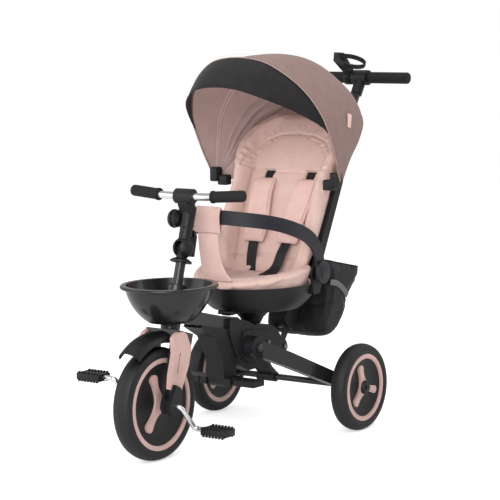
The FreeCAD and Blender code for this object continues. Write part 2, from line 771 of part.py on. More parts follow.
def rear_frame():
    """The two folding rear legs, the cross tube with its axle rod, and the brake pedal."""
    axle = (dim("rear_y"), dim("rear_radius"))
    tube_hole = rod("leg_tube_hole", 8.0, 400.0, (-200.0, axle[0], axle[1]), "x")
    for side, sign in (("left", 1), ("right", -1)):
        sections = []
        for y, x, half_x, z, half_z in ((-45.0, 49.0, 12.0, 215.0, 21.0), (20.0, 88.0, 13.0, 182.0, 20.0),
                                        (138.0, 178.0, 11.0, 113.0, 17.0)):
            middle = sign * x
            sections.append(box_wire(y, middle - half_x, middle + half_x, z - half_z, z + half_z))
        name = "leg_" + side
        limb = free_form(name + "_limb", Part.makeLoft(sections, True, True))
        boss = rod(name + "_boss", 27.0, 26.0,
                   (low_end(35.0, 61.0, sign), dim("fold_y"), dim("fold_z")), "x")
        foot = block(name + "_foot", (27.0, 40.0, 38.0), (low_end(165.0, 192.0, sign), 125.0, 92.0))
        pivot = rod(name + "_pivot", dim("fold_radius") + dim("running_gap"), 60.0,
                    (low_end(20.0, 80.0, sign), dim("fold_y"), dim("fold_z")), "x")
        node(name, carve(name, merge(name + "_whole", [limb, boss, foot]), [pivot, tube_hole]))

    outer = rod("axle_outer", 8.0, 384.0, (-192.0, axle[0], axle[1]), "x")
    inner = rod("axle_inner", dim("axle_radius"), 400.0, (-200.0, axle[0], axle[1]), "x")
    node("axle_tube", carve("axle_tube", outer, [inner]))
    node("axle_rod", rod("axle_rod", dim("axle_radius"), 492.0, (-246.0, axle[0], axle[1]), "x"))

    lever_path = [
        ((-8.0, 6.0),),
        ((-30.0, 26.0),),
        ((-36.0, 40.0),),
        ((-28.0, 43.0),),
        ((-18.0, 30.0),),
        ((4.0, 12.0),),
    ]
    wing = slab("brake_wing", lever_path, -80.0, -30.0, "YZ_Plane", (0.0, axle[0], axle[1]))
    sleeve = rod("brake_sleeve", 13.0, 55.0, (-85.0, axle[0], axle[1]), "x")
    hole = rod("brake_hole", 8.0 + dim("running_gap"), 80.0, (-100.0, axle[0], axle[1]), "x")
    node("brake_lever", carve("brake_lever", merge("brake_whole", [wing, sleeve]), [hole]))


def seat():
    """Swivelling seat: cone and post, release lever, moulded shell with ears, and cushion."""
    at = (0.0, dim("swivel_y"), 0.0)
    cone_path = [
        ((0.0, 225.0),),
        ((10.0, 225.0),),
        ((10.0, dim("swivel_base")),),
        ((22.0, dim("swivel_base")),),
        ((30.0, 285.0),),
        ((62.0, 318.0),),
        ((62.0, 322.0),),
        ((0.0, 322.0),),
    ]
    cone = turned("cone_turning", cone_path, "V_Axis", at)
    lever_room = block("lever_room", (22.6, 97.0, 6.6), (-11.3, -132.0, 302.2))
    lever_bar = block("lever_bar", (22.0, 78.0, 6.0), (-11.0, -114.0, 302.5))
    lever_grip = rod("lever_grip", 5.0, 40.0, (-20.0, -114.0, 309.0), "x")
    node("swivel_lever", merge("swivel_lever", [lever_bar, lever_grip]))

    outer = tub([(309.0, 108.0, 114.0, 15.0), (330.0, 128.0, 140.0, 17.0), (352.0, 141.0, 158.0, 19.0),
                 (372.0, 150.0, 172.0, 20.0)])
    inner = tub([(316.0, 106.0, 112.0, 15.0), (333.0, 125.0, 137.0, 17.0), (353.0, 137.5, 154.5, 19.0),
                 (372.5, 146.0, 168.0, 20.0)])
    behind = Part.makeBox(400, 200, 200, FreeCAD.Vector(-200, 100, 280))
    behind_inner = Part.makeBox(400, 200, 200, FreeCAD.Vector(-200, 96, 280))
    cavity = inner.cut(behind_inner)
    bucket = outer.cut(behind)
    ear_path = [
        ((44.0, 346.0),),
        ((36.0, 392.0),),
        ((62.0, 418.0), (88.0, 392.0)),
        ((70.0, 346.0),),
    ]
    pieces = [free_form("bucket_outer", bucket)]
    pins = []
    for side, sign in (("left", 1), ("right", -1)):
        pieces.append(slab("ear_" + side, ear_path, *span_on(146.3, 152.5, sign)))
        web_corner = (low_end(130.0, 150.0, sign), 44.0, 346.0)
        pieces.append(block("ear_web_" + side, (20.0, 30.0, 22.0), web_corner))
        pins.append(rod("ear_pin_" + side, 5.0, 27.0,
                        (low_end(134.0, 161.0, sign), dim("back_y"), dim("back_z")), "x"))
    solid_cavity = free_form("bucket_cavity", cavity)
    room_cut = carve("shell_cut", merge("shell_whole", pieces), [solid_cavity, cone])
    node("seat_shell", merge("seat_shell", [room_cut] + pins))
    node("swivel_cone", carve("swivel_cone", cone, [lever_room]))

    fill = tub([(316.0, 105.0, 111.0, 15.0), (333.0, 124.2, 136.2, 17.0), (353.0, 136.8, 153.8, 19.0),
                (373.0, 144.0, 166.0, 20.0)])
    crown = tub([(372.8, 144.0, 166.0, 18.0), (380.0, 147.0, 175.0, 18.0), (388.0, 138.0, 166.0, 18.0),
                 (394.0, 105.0, 130.0, 16.0)])
    back_cut = Part.makeBox(400, 200, 200, FreeCAD.Vector(-200, 50, 366))
    rear_cut = Part.makeBox(400, 200, 200, FreeCAD.Vector(-200, 95, 280))
    cushion = fill.fuse(crown).cut(rear_cut).cut(back_cut)
    cone_room = rod("cushion_room", 62.5, 10.0, (0.0, dim("swivel_y"), 314.0))
    node("seat_cushion", carve("seat_cushion", free_form("cushion_solid", cushion), [cone_room]))


def section_wire(height, half, back, front, bolster):
    """A cushion's cross-section: flat back, rounded sides, two bolsters and a hollow middle."""
    inside = half - 36.0
    points = [
        (-half + 14, back), (half - 14, back), (half - 4, back - 4), (half, back - 14),
        (half + 1, (back - 14 - bolster) / 2), (half - 6, -bolster),
        (half - 20, -bolster - 7), (inside, -front - 3), (0, -front),
        (-inside, -front - 3), (-half + 20, -bolster - 7), (-half + 6, -bolster),
        (-half - 1, (back - 14 - bolster) / 2), (-half, back - 14), (-half + 4, back - 4),
    ]
    p = [FreeCAD.Vector(x, y, height) for x, y in points]
    spans = [(p[1], p[2], p[3]), (p[3], p[4], p[5]), (p[5], p[6], p[7]), (p[7], p[8], p[9]),
             (p[9], p[10], p[11]), (p[11], p[12], p[13]), (p[13], p[14], p[0])]
    edges = [Part.LineSegment(p[0], p[1]).toShape()]
    edges += [Part.Arc(*span).toShape() for span in spans]
    return Part.Wire(edges)


def leaned(shape, at, turn):
    """A shape made in a leaning part's own frame, moved into place."""
    shape.Placement = FreeCAD.Placement(FreeCAD.Vector(*[number(v) for v in at]), turn)
    return shape


PAD_INNER = 32.0
PAD_WIDE = 60.0
WEB_INNER = 34.0
WEB_WIDE = 30.0


def backrest():
    """Frame with side bars and shell plate, padded back with bolsters, harness and canopy hubs."""
    top = number(dim("back_length"))
    plate_path = [
        ((-134.0, 6.0),),
        ((134.0, 6.0),),
        ((134.0, 330.0),),
        ((122.0, top - 34), (90.0, top - 10)),
        ((-90.0, top - 10),),
        ((-122.0, top - 34), (-134.0, 330.0)),
    ]
    pieces = [slab("back_plate", plate_path, -14.0, -10.0, "XZ_Plane", BACK_AT, BACK_TURN)]
    holes = []
    bar_path = [
        ((-12.0, 0.0),),
        ((0.0, -12.0), (12.0, 0.0)),
        ((14.0, 60.0),),
        ((14.0, 250.0),),
        ((4.0, 262.0), (-8.0, 250.0)),
    ]
    for side, sign in (("left", 1), ("right", -1)):
        low, high = span_on(134.0, 146.0, sign)
        pieces.append(slab("back_bar_" + side, bar_path, low, high, "YZ_Plane", BACK_AT, BACK_TURN))
        holes.append(rod("back_hole_" + side, 5.0 + dim("running_gap"), 30.0,
                         (low_end(128.0, 158.0, sign), dim("back_y"), dim("back_z")), "x"))
    node("back_frame", carve("back_frame", merge("back_whole", pieces), holes))

    levels = [
        (8.0, 121.0, 9.5, 20.0, 40.0),
        (60.0, 129.0, 9.5, 24.0, 62.0),
        (125.0, 131.0, 9.5, 24.0, 74.0),
        (190.0, 132.0, 9.5, 24.0, 80.0),
        (250.0, 132.5, 9.5, 25.0, 83.0),
        (285.0, 139.0, 9.5, 26.0, 80.0),
        (330.0, 147.0, 9.5, 28.0, 66.0),
        (375.0, 145.0, 9.5, 27.0, 40.0),
        (408.0, 128.0, 9.5, 22.0, 22.0),
        (top, 104.0, 9.5, 14.0, 12.0),
    ]
    pad = Part.makeLoft([section_wire(*level) for level in levels], True, False)
    cushion = free_form("back_pad", leaned(pad, BACK_AT, BACK_TURN))
    node("back_cushion", carve("back_cushion", cushion, [NODES["back_frame"]]))

    straps = []
    for side, sign in (("left", 1), ("right", -1)):
        pad_low = low_end(PAD_INNER, PAD_INNER + PAD_WIDE, sign)
        web_low = low_end(WEB_INNER, WEB_INNER + WEB_WIDE, sign)
        straps.append(block("shoulder_pad_" + side, (PAD_WIDE, 16.0, 170.0), (pad_low, -36.0, 70.0),
                            BACK_AT, BACK_TURN))
        straps.append(block("lap_web_" + side, (WEB_WIDE, 8.0, 72.0), (web_low, -36.0, 4.0),
                            BACK_AT, BACK_TURN))
    harness = merge("harness_whole", straps)
    node("harness", carve("harness", harness, [NODES["back_cushion"]]))

    hubs = []
    hub_y, hub_z = dim("hood_y"), dim("hood_z")
    bar_top = frame_point(BACK_AT, BACK_TURN, 0.0, 2.0, 250.0)
    arm_path = [
        ((bar_top.y + 10, bar_top.z + 8),),
        ((hub_y + 6, hub_z + 22),),
        ((hub_y - 16, hub_z + 2), (hub_y - 2, hub_z - 16)),
        ((bar_top.y - 4, bar_top.z - 24),),
    ]
    clip_path = [
        ((hub_y - 20, hub_z - 8),),
        ((hub_y - 22, hub_z + 34),),
        ((hub_y - 4, hub_z + 42),),
        ((hub_y + 22, hub_z + 30),),
        ((hub_y + 26, hub_z - 8),),
    ]
    for side, sign in (("left", 1), ("right", -1)):
        arm = slab("hub_arm_" + side, arm_path, *span_on(146.0, 156.0, sign))
        clip = slab("hub_clip_" + side, clip_path, *span_on(155.0, 181.0, sign))
        pin = rod("hub_pin_" + side, HUB_BORE - number(dim("running_gap")), 20.0,
                  (low_end(179.0, 199.0, sign), hub_y, hub_z), "x")
        cap = rod("hub_cap_" + side, 15.0, 4.0, (low_end(195.0, 199.0, sign), hub_y, hub_z), "x")
        hubs.append(merge("hub_side_" + side, [arm, clip, pin, cap]))
    node("canopy_hubs", group("canopy_hubs", hubs))


HUB_BORE = 12.0
HOOD_WAIST = 188.0
HOOD_WIDEST = 196.0
HOOD_STATIONS = ((0.3, HOOD_WIDEST), (0.55, 192.0), (0.75, 162.0), (0.88, 120.0), (0.96, 78.0), (1.0, 0.0))


def hood_curve(radius, shift):
    """The canopy's outline from hub to hub in one radial plane: X across, Y away from the hub axis."""
    grow = 1.0 + shift / HOOD_WIDEST
    side = [(HOOD_WAIST * grow, HUB_BORE)]
    side += [(half * grow, share * (radius + shift)) for share, half in HOOD_STATIONS]
    points = side + [(-x, y) for x, y in reversed(side[:-1])]
    curve = Part.BSplineCurve()
    curve.interpolate([FreeCAD.Vector(x, y, 0) for x, y in points])
    return curve


def hood_turned(shape, degrees):
    """A shape drawn in the outline's plane, turned up from straight ahead about the hub axis."""
    shape.rotate(FreeCAD.Vector(), FreeCAD.Vector(1, 0, 0), 180.0 - degrees)
    shape.translate(FreeCAD.Vector(0, number(dim("hood_y")), number(dim("hood_z"))))
    return shape


def hood_panel(name, shift, sections):
    """One cloth panel, through thin bands at several angles, each with its own radius."""
    skin = number(dim("hood_skin"))
    wires = []
    for degrees, radius in sections:
        outer = hood_curve(radius, shift)
        inner = hood_curve(radius, shift - skin)
        edges = [
            outer.toShape(),
            Part.LineSegment(outer.EndPoint, inner.EndPoint).toShape(),
            inner.toShape(),
            Part.LineSegment(inner.StartPoint, outer.StartPoint).toShape(),
        ]
        wires.append(hood_turned(Part.Wire(Part.__sortEdges__(edges)), degrees))
    return node(name, free_form(name, Part.makeLoft(wires, True, False)))


def sun_visor(hoop_angle, depth, half_span, stations):
    """A crescent of cloth sewn to the front hoop, deepest over the middle, with its rim ahead of it."""
    shift = number(dim("hood_nest"))
    skin = number(dim("hood_skin"))
    edge = hood_curve(number(dim("hood_front")), shift).toShape()
    wires = []
    for index in range(stations):
        across = half_span * (2.0 * index / (stations - 1) - 1.0)
        parameter = edge.getParameterByLength(edge.Length * (1.0 + across) / 2.0)
        start = edge.valueAt(parameter)
        outwards = edge.tangentAt(parameter).cross(FreeCAD.Vector(0, 0, 1)).normalize()
        if outwards.dot(start) < 0:
            outwards = -outwards
        drop = depth * (1.0 - 0.96 * abs(across / half_span) ** 2.2)
        corners = []
        for degrees in (hoop_angle, hoop_angle - drop):
            corners.append(hood_turned(Part.Vertex(start), degrees).Point)
        inwards = hood_turned(Part.Vertex(outwards * -skin), hoop_angle - drop / 2).Point
        inwards = inwards - FreeCAD.Vector(0, number(dim("hood_y")), number(dim("hood_z")))
        corners += [corners[1] + inwards, corners[0] + inwards, corners[0]]
        wires.append(Part.makePolygon(corners))
    return node("sun_visor", free_form("sun_visor", Part.makeLoft(wires, True, False)))


def canopy():
    """The fixed rear panel, the folding front one that nests over it, and its visor."""
    front, over, rear = (number(dim(alias)) for alias in ("hood_front", "hood_top", "hood_rear"))
    hood_panel("rear_hood", 0.0, [(100.0, over), (112.0, over - 2), (125.0, over - 8), (138.0, rear)])
    nest = number(dim("hood_nest"))
    hood_panel("front_hood", nest, [(63.0, front), (77.0, front - 18), (91.0, over + 5), (104.0, over - 1)])
    sun_visor(62.9, 18.0, 0.9, 15)


def safety_ring():
    """Bumper band from pin to pin around the rider, and the padded sleeve at its middle."""
    stations = [
        ((158.2, 64.0, 378.0), (1, 0)),
        ((158.6, 60.0, 430.0), (1, 0)),
        ((159.4, 28.0, 480.0), (1, 0)),
        ((158.0, -35.0, 511.0), (1, 0)),
        ((143.0, -100.0, 532.0), (0.87, -0.5)),
        ((90.0, -158.0, 545.0), (0.5, -0.87)),
        ((0.0, -185.0, 551.0), (0, -1)),
    ]
    right = [((-x, y, z), (-a, b)) for (x, y, z), (a, b) in reversed(stations[:-1])]
    stations += right
    points = [FreeCAD.Vector(*point) for point, outward in stations]
    curve = Part.BSplineCurve()
    curve.interpolate(points)

    def section(index, thickness, height):
        tangent = FreeCAD.Vector(*curve.tangent(curve.parameter(points[index]))[0])
        outward = FreeCAD.Vector(*stations[index][1], 0)
        up = tangent.cross(outward).normalize()
        side = up.cross(tangent).normalize()
        corners = [(-1, -1), (1, -1), (1, 1), (-1, 1), (-1, -1)]
        return Part.makePolygon([points[index] + side * (a * thickness / 2) + up * (b * height / 2)
                                 for a, b in corners])

    wires = [section(index, 6.0 if index in (0, 1, 11, 12) else 7.5, 34.0) for index in range(len(stations))]
    band = free_form("ring_band", Part.makeLoft(wires, True, False))
    holes = []
    for side, sign in (("left", 1), ("right", -1)):
        holes.append(rod("ring_hole_" + side, 5.0 + dim("running_gap"), 30.0,
                         (low_end(150.0, 180.0, sign), dim("back_y"), dim("back_z")), "x"))
    node("safety_ring", carve("safety_ring", band, holes))

    sleeve_path = [
        ((-193.0, 529.0),),
        ((-193.0, 566.0),),
        ((-185.0, 572.0), (-174.0, 566.0)),
        ((-171.0, 529.0),),
        ((-172.0, 400.0),),
        ((-180.0, 392.0), (-186.0, 400.0)),
    ]
    wide = slab("sleeve_wide", sleeve_path, -44.0, 44.0)
    trim_left = block("sleeve_trim_left", (24.0, 60.0, 130.0), (20.0, -210.0, 390.0))
    trim_right = block("sleeve_trim_right", (24.0, 60.0, 130.0), (-44.0, -210.0, 390.0))
    node("ring_sleeve", carve("ring_sleeve", wide, [trim_left, trim_right, band]))


CUP_OFFSET = (4.0, -56.0, 44.0)
CUP_TURN = FreeCAD.Rotation(FreeCAD.Vector(0, 1, 0), 20.0).multiply(tilt_x(9.0))


def push_handle():
    """Folding bracket, two-part telescopic tube, push bar, cup holder and storage bag."""
    length = number(dim("handle_length"))
    link_path = [
        ((-9.0, 0.0),),
        ((0.0, -9.0), (9.0, 0.0)),
        ((14.0, 70.0),),
        ((-14.0, 70.0),),
    ]
    socket_path = [
        ((-30.0, 66.0),),
        ((-10.0, 54.0), (20.0, 56.0)),
        ((26.0, 84.0),),
        ((22.0, 118.0),),
        ((0.0, 124.0), (-20.0, 118.0)),
    ]
    tube_room = rod("bracket_tube_room", dim("tube_radius"), 200.0, (0.0, 0.0, 62.0), "z",
                    HANDLE_AT, HANDLE_TURN)
    pivot = rod("bracket_pivot", 6.0 + dim("running_gap"), 60.0,
                (-30.0, dim("handle_y"), dim("handle_z")), "x")
    pieces = [slab("bracket_socket", socket_path, -24.0, 24.0, "YZ_Plane", HANDLE_AT, HANDLE_TURN)]
    for side, low in (("left", 15.0), ("right", -18.0)):
        pieces.append(slab("bracket_link_" + side, link_path, low, low + 3.0, "YZ_Plane",
                           HANDLE_AT, HANDLE_TURN))
    node("handle_bracket", carve("handle_bracket", merge("bracket_whole", pieces), [tube_room, pivot]))

    lower = rod("lower_outer", dim("tube_radius"), 408.0, (0.0, 0.0, 62.0), "z", HANDLE_AT, HANDLE_TURN)
    bore = rod("lower_bore", dim("inner_radius") + dim("running_gap"), 408.0, (0.0, 0.0, 62.0), "z",
               HANDLE_AT, HANDLE_TURN)
    collar = rod("lower_collar", 18.0, 30.0, (0.0, 0.0, 440.0), "z", HANDLE_AT, HANDLE_TURN)
    lower_tube = carve("push_tube_lower", merge("lower_whole", [lower, collar]), [bore])
    node("push_tube_lower", lower_tube)

    upper = rod("upper_outer", dim("inner_radius"), length - 330.0 - 18.0, (0.0, 0.0, 330.0), "z",
                HANDLE_AT, HANDLE_TURN)
    bar_at = frame_point(HANDLE_AT, HANDLE_TURN, 0.0, 0.0, length)
    reach = dim("grip_half")
    grip = dim("grip_radius")
    core = grip - 2.0
    bar_path = [
        ((-reach, 0.0),),
        ((reach, 0.0),),
        ((reach, grip - 4),),
        ((reach - 1.2, grip - 1.2), (reach - 4, grip)),
        ((30.0, grip),),
        ((30.0, core),),
        ((-30.0, core),),
        ((-30.0, grip),),
        ((-reach + 4, grip),),
        ((-reach + 1.2, grip - 1.2), (-reach, grip - 4)),
    ]
    bar = turned("push_grip_turning", bar_path, "H_Axis", (0.0, bar_at.y, bar_at.z))
    hub = rod("grip_hub", 20.0, 44.0, (-22.0, bar_at.y, bar_at.z), "x")
    neck = rod("grip_neck", 15.0, 44.0, (0.0, 0.0, length - 50.0), "z", HANDLE_AT, HANDLE_TURN)
    node("push_tube_upper", upper)
    node("t_bar_hub", carve("t_bar_hub", merge("t_bar_whole", [hub, neck]), [bar, upper]))
    node("push_grip", bar)

    bore = dim("cup_radius")
    ring_at = (CUP_OFFSET[0], bar_at.y + CUP_OFFSET[1], bar_at.z + CUP_OFFSET[2])
    ring_path = [
        ((bore, -6.0),),
        ((bore + 2, -6.0),),
        ((bore + 3, 0.0), (bore + 2, 6.0)),
        ((bore, 6.0),),
    ]
    ring = turned("cup_ring", ring_path, "V_Axis", ring_at, CUP_TURN)
    clamp = rod("cup_clamp", 19.0, 22.0, (-46.0, bar_at.y, bar_at.z), "x")
    arm_path = [
        ((-14.0, 8.0),),
        ((10.0, 10.0),),
        ((4.0, 22.0),),
        ((-40.0, 66.0),),
        ((-68.0, 68.0),),
        ((-72.0, 46.0),),
    ]
    arm = slab("cup_arm", arm_path, -42.0, -28.0, "YZ_Plane", (0.0, bar_at.y, bar_at.z))
    bar_hole = rod("cup_bar_hole", grip + dim("running_gap"), 60.0, (-75.0, bar_at.y, bar_at.z), "x")
    cup_room = rod("cup_room", bore + 1, 160.0, (0.0, 0.0, -80.0), "z", ring_at, CUP_TURN)
    holder = carve("cup_arm_cut", merge("cup_arm_whole", [clamp, arm]), [bar_hole, cup_room])
    node("cup_holder", merge("cup_holder", [ring, holder]))

    bag_path = [
        ((206.0, 412.0),),
        ((196.0, 330.0),),
        ((172.0, 244.0),),
        ((178.0, 221.0), (198.0, 214.0)),
        ((228.0, 222.0),),
        ((262.0, 248.0),),
        ((291.0, 274.0), (300.0, 304.0)),
        ((324.0, 322.0),),
        ((356.0, 372.0),),
    ]
    inner_path = [
        ((211.0, 420.0),),
        ((201.0, 330.0),),
        ((177.0, 245.0),),
        ((183.0, 226.0), (198.0, 219.0)),
        ((225.0, 227.0),),
        ((258.0, 252.0),),
        ((286.0, 277.0), (295.0, 307.0)),
        ((319.0, 325.0),),
        ((351.0, 382.0),),
    ]
    half = dim("bag_half")
    bag = slab("bag_outer", bag_path, -half, half)
    room = slab("bag_room", inner_path, -half + 4, half - 4)
    inside = carve("bag_wall", bag, [room])
    sleeve = rod("bag_sleeve", 18.0, 170.0, (0.0, 0.0, 90.0), "z", HANDLE_AT, HANDLE_TURN)
    joined = merge("bag_joined", [inside, overlap("bag_channel", bag, sleeve)])
    node("storage_bag", carve("storage_bag", joined, [lower, NODES["handle_bracket"]]))


wheels()
front_fork()
steering_column()
handlebar_group()
frame_parts()
crank_and_pedals()
rear_frame()
seat()
backrest()
canopy()
safety_ring()
push_handle()
doc.recompute()

for obj in doc.Objects:
    if "Invalid" in obj.State or "Error" in obj.State:
        raise RuntimeError("%s could not be computed" % obj.Label)
for name, obj in NODES.items():
    if obj.Shape.isNull() or not obj.Shape.isValid() or not obj.Shape.Solids:
        raise RuntimeError("%s has no valid solid" % name)

os.makedirs("parts", exist_ok=True)
for name, obj in NODES.items():
    obj.Shape.exportStep("parts/%s.step" % name)
    print("%-20s %2d solids %12.0f mm3" % (name, len(obj.Shape.Solids), obj.Shape.Volume))
print(len(NODES), "nodes")
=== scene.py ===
import json
import math
import bmesh
import bpy
import numpy as np
from mathutils import Matrix, Vector


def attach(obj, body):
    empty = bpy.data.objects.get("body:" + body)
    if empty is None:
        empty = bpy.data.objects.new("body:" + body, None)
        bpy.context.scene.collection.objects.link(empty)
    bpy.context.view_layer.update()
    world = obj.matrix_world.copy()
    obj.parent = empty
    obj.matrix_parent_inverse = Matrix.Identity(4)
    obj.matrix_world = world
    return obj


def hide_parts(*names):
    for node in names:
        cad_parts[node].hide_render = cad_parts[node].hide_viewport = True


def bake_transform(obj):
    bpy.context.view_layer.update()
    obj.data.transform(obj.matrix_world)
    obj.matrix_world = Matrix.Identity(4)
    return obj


# A folding push tricycle in metres: +Z up, the front wheel towards -Y, the rider's left towards +X.
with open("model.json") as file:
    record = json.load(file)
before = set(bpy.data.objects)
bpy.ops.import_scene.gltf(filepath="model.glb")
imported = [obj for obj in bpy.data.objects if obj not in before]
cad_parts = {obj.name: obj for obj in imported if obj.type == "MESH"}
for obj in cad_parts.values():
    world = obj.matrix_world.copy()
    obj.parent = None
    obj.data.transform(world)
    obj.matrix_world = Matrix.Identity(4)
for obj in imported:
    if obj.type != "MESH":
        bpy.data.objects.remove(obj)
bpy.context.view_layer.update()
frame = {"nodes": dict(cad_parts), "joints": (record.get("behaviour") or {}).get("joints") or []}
joints = {joint["name"]: joint for joint in frame["joints"]}

BACK_PIVOT = Vector(joints["backrest_recline"]["pos_m"])
HOOD_PIVOT = Vector(joints["hood_fold"]["pos_m"])

# The camera is fitted to the photograph: place in metres, angles in degrees, lens and sensor in millimetres.
CAMERA_PLACE = Vector((2.76867, -3.89152, 1.03238))
CAMERA_AZIMUTH = 35.4965
CAMERA_ELEVATION = 6.9448
CAMERA_ROLL = -0.5535
CAMERA_LENS = 140.49
CAMERA_SENSOR = 36.0


def tint(red, green, blue):
    """A screen colour, 0 to 255, as the linear colour that renders to it."""
    def linear(value):
        share = value / 255.0
        return share / 12.92 if share <= 0.04045 else ((share + 0.055) / 1.055) ** 2.4
    return (linear(red), linear(green), linear(blue), 1.0)


def new_group(name, inputs, outputs):
    """An empty effect group with named value inputs and outputs."""
    group = bpy.data.node_groups.new(name, "ShaderNodeTree")
    for label, value in inputs:
        socket = group.interface.new_socket(label, in_out="INPUT", socket_type="NodeSocketFloat")
        socket.default_value = value
    for label in outputs:
        group.interface.new_socket(label, in_out="OUTPUT", socket_type="NodeSocketFloat")
    entry = group.nodes.new("NodeGroupInput")
    leave = group.nodes.new("NodeGroupOutput")
    return group, entry, leave


def add_node(tree, kind, **settings):
    made = tree.nodes.new(kind)
    for name, value in settings.items():
        setattr(made, name, value)
    return made


def arithmetic(tree, operation, first, second):
    """A maths node whose inputs are sockets or plain numbers."""
    step = add_node(tree, "ShaderNodeMath", operation=operation)
    for socket, value in zip(step.inputs, (first, second)):
        if isinstance(value, (int, float)):
            socket.default_value = value
        else:
            tree.links.new(value, socket)
    return step.outputs[0]


def noise_at(tree, where, scale, detail=2.0):
    cloud = add_node(tree, "ShaderNodeTexNoise")
    cloud.inputs["Scale"].default_value = scale
    cloud.inputs["Detail"].default_value = detail
    tree.links.new(where, cloud.inputs["Vector"])
    return cloud.outputs["Fac"]


def make_weave():
    """Crossed threads with uneven yarn, and a slow mottle for the dye."""
    group, entry, leave = new_group("woven_cloth", [("Threads", 900.0), ("Mottle", 35.0)], ["Height", "Dye"])
    place = add_node(group, "ShaderNodeTexCoord").outputs["Object"]
    split = add_node(group, "ShaderNodeSeparateXYZ")
    group.links.new(place, split.inputs[0])
    ridges = []
    for axis in range(3):
        turn = arithmetic(group, "MULTIPLY", split.outputs[axis], entry.outputs["Threads"])
        ridges.append(arithmetic(group, "SINE", turn, 0.0))
    warp = arithmetic(group, "MULTIPLY", ridges[0], ridges[2])
    weft = arithmetic(group, "MULTIPLY", ridges[1], ridges[2])
    threads = arithmetic(group, "ADD", warp, weft)
    slub = noise_at(group, place, 700.0, 3.0)
    mixed = arithmetic(group, "ADD", arithmetic(group, "MULTIPLY", threads, 0.25), slub)
    group.links.new(mixed, leave.inputs["Height"])
    slow = add_node(group, "ShaderNodeTexNoise")
    slow.inputs["Detail"].default_value = 3.0
    group.links.new(place, slow.inputs["Vector"])
    group.links.new(entry.outputs["Mottle"], slow.inputs["Scale"])
    dye = arithmetic(group, "ADD", arithmetic(group, "MULTIPLY", slow.outputs["Fac"], 0.7),
                     arithmetic(group, "MULTIPLY", slub, 0.3))
    group.links.new(dye, leave.inputs["Dye"])
    return group


def make_grain():
    """The fine etched grain and the faint flow marks of moulded plastic."""
    group, entry, leave = new_group("moulded_grain", [("Grain", 900.0), ("Flow", 14.0)], ["Height", "Marks"])
    place = add_node(group, "ShaderNodeTexCoord").outputs["Object"]
    for label, output, detail in (("Grain", "Height", 2.0), ("Flow", "Marks", 4.0)):
        cloud = add_node(group, "ShaderNodeTexNoise")
        cloud.inputs["Detail"].default_value = detail
        group.links.new(place, cloud.inputs["Vector"])
        group.links.new(entry.outputs[label], cloud.inputs["Scale"])
        group.links.new(cloud.outputs["Fac"], leave.inputs[output])
    return group


def make_edge_wear():
    """A mask of rubbed edges, broken up by noise."""
    group, entry, leave = new_group("rubbed_edges", [("Spread", 0.5)], ["Mask"])
    geometry = add_node(group, "ShaderNodeNewGeometry")
    place = add_node(group, "ShaderNodeTexCoord").outputs["Object"]
    raised = arithmetic(group, "SUBTRACT", geometry.outputs["Pointiness"], 0.515)
    sharp = arithmetic(group, "MULTIPLY", raised, 9.0)
    broken = arithmetic(group, "MULTIPLY", sharp, noise_at(group, place, 60.0, 4.0))
    scaled = arithmetic(group, "MULTIPLY", broken, entry.outputs["Spread"])
    clamped = add_node(group, "ShaderNodeClamp")
    group.links.new(scaled, clamped.inputs[0])
    group.links.new(clamped.outputs[0], leave.inputs["Mask"])
    return group


WEAVE = make_weave()
GRAIN = make_grain()
EDGE_WEAR = make_edge_wear()


def start_material(name, roughness, metallic=0.0):
    material = bpy.data.materials.new(name)
    material.use_nodes = True
    tree = material.node_tree
    shader = tree.nodes["Principled BSDF"]
    shader.inputs["Roughness"].default_value = roughness
    shader.inputs["Metallic"].default_value = metallic
    return material, tree, shader


def use_group(tree, group, **values):
    placed = add_node(tree, "ShaderNodeGroup", node_tree=group)
    for name, value in values.items():
        placed.inputs[name].default_value = value
    return placed


def mix_colours(tree, mask, low, high, target):
    """Feeds a colour input with two colours mixed by a mask; either may be a socket."""
    mix = add_node(tree, "ShaderNodeMix", data_type="RGBA")
    tree.links.new(mask, mix.inputs["Factor"])
    for socket, colour in ((mix.inputs["A"], low), (mix.inputs["B"], high)):
        if isinstance(colour, tuple):
            socket.default_value = colour
        else:
            tree.links.new(colour, socket)
    if target is not None:
        tree.links.new(mix.outputs["Result"], target)
    return mix.outputs["Result"]


def spread(tree, socket, low, high, new_low, new_high):
    """A value stretched from one range to another."""
    ramp = add_node(tree, "ShaderNodeMapRange")
    tree.links.new(socket, ramp.inputs["Value"])
    for label, value in (("From Min", low), ("From Max", high), ("To Min", new_low), ("To Max", new_high)):
        ramp.inputs[label].default_value = value
    return ramp.outputs["Result"]


def add_bump(tree, shader, height, depth, strength=1.0):
    bump = add_node(tree, "ShaderNodeBump")
    bump.inputs["Strength"].default_value = strength
    bump.inputs["Distance"].default_value = depth
    tree.links.new(height, bump.inputs["Height"])
    tree.links.new(bump.outputs["Normal"], shader.inputs["Normal"])


def cloth_material(name, colour, shade, threads, depth, sheen, roughness):
    """Woven cloth: dyed unevenly between two colours, with a raised weave and a little sheen."""
    material, tree, shader = start_material(name, roughness)
    weave = use_group(tree, WEAVE, Threads=threads)
    mask = spread(tree, weave.outputs["Dye"], 0.3, 0.7, 0.0, 1.0)
    mix_colours(tree, mask, tint(*shade), tint(*colour), shader.inputs["Base Color"])
    tree.links.new(spread(tree, weave.outputs["Dye"], 0.3, 0.7, roughness, roughness - 0.12),
                   shader.inputs["Roughness"])
    shader.inputs["Sheen Weight"].default_value = sheen
    shader.inputs["Sheen Roughness"].default_value = 0.5
    shader.inputs["Specular IOR Level"].default_value = 0.3
    add_bump(tree, shader, weave.outputs["Height"], depth, 0.6)
    return material


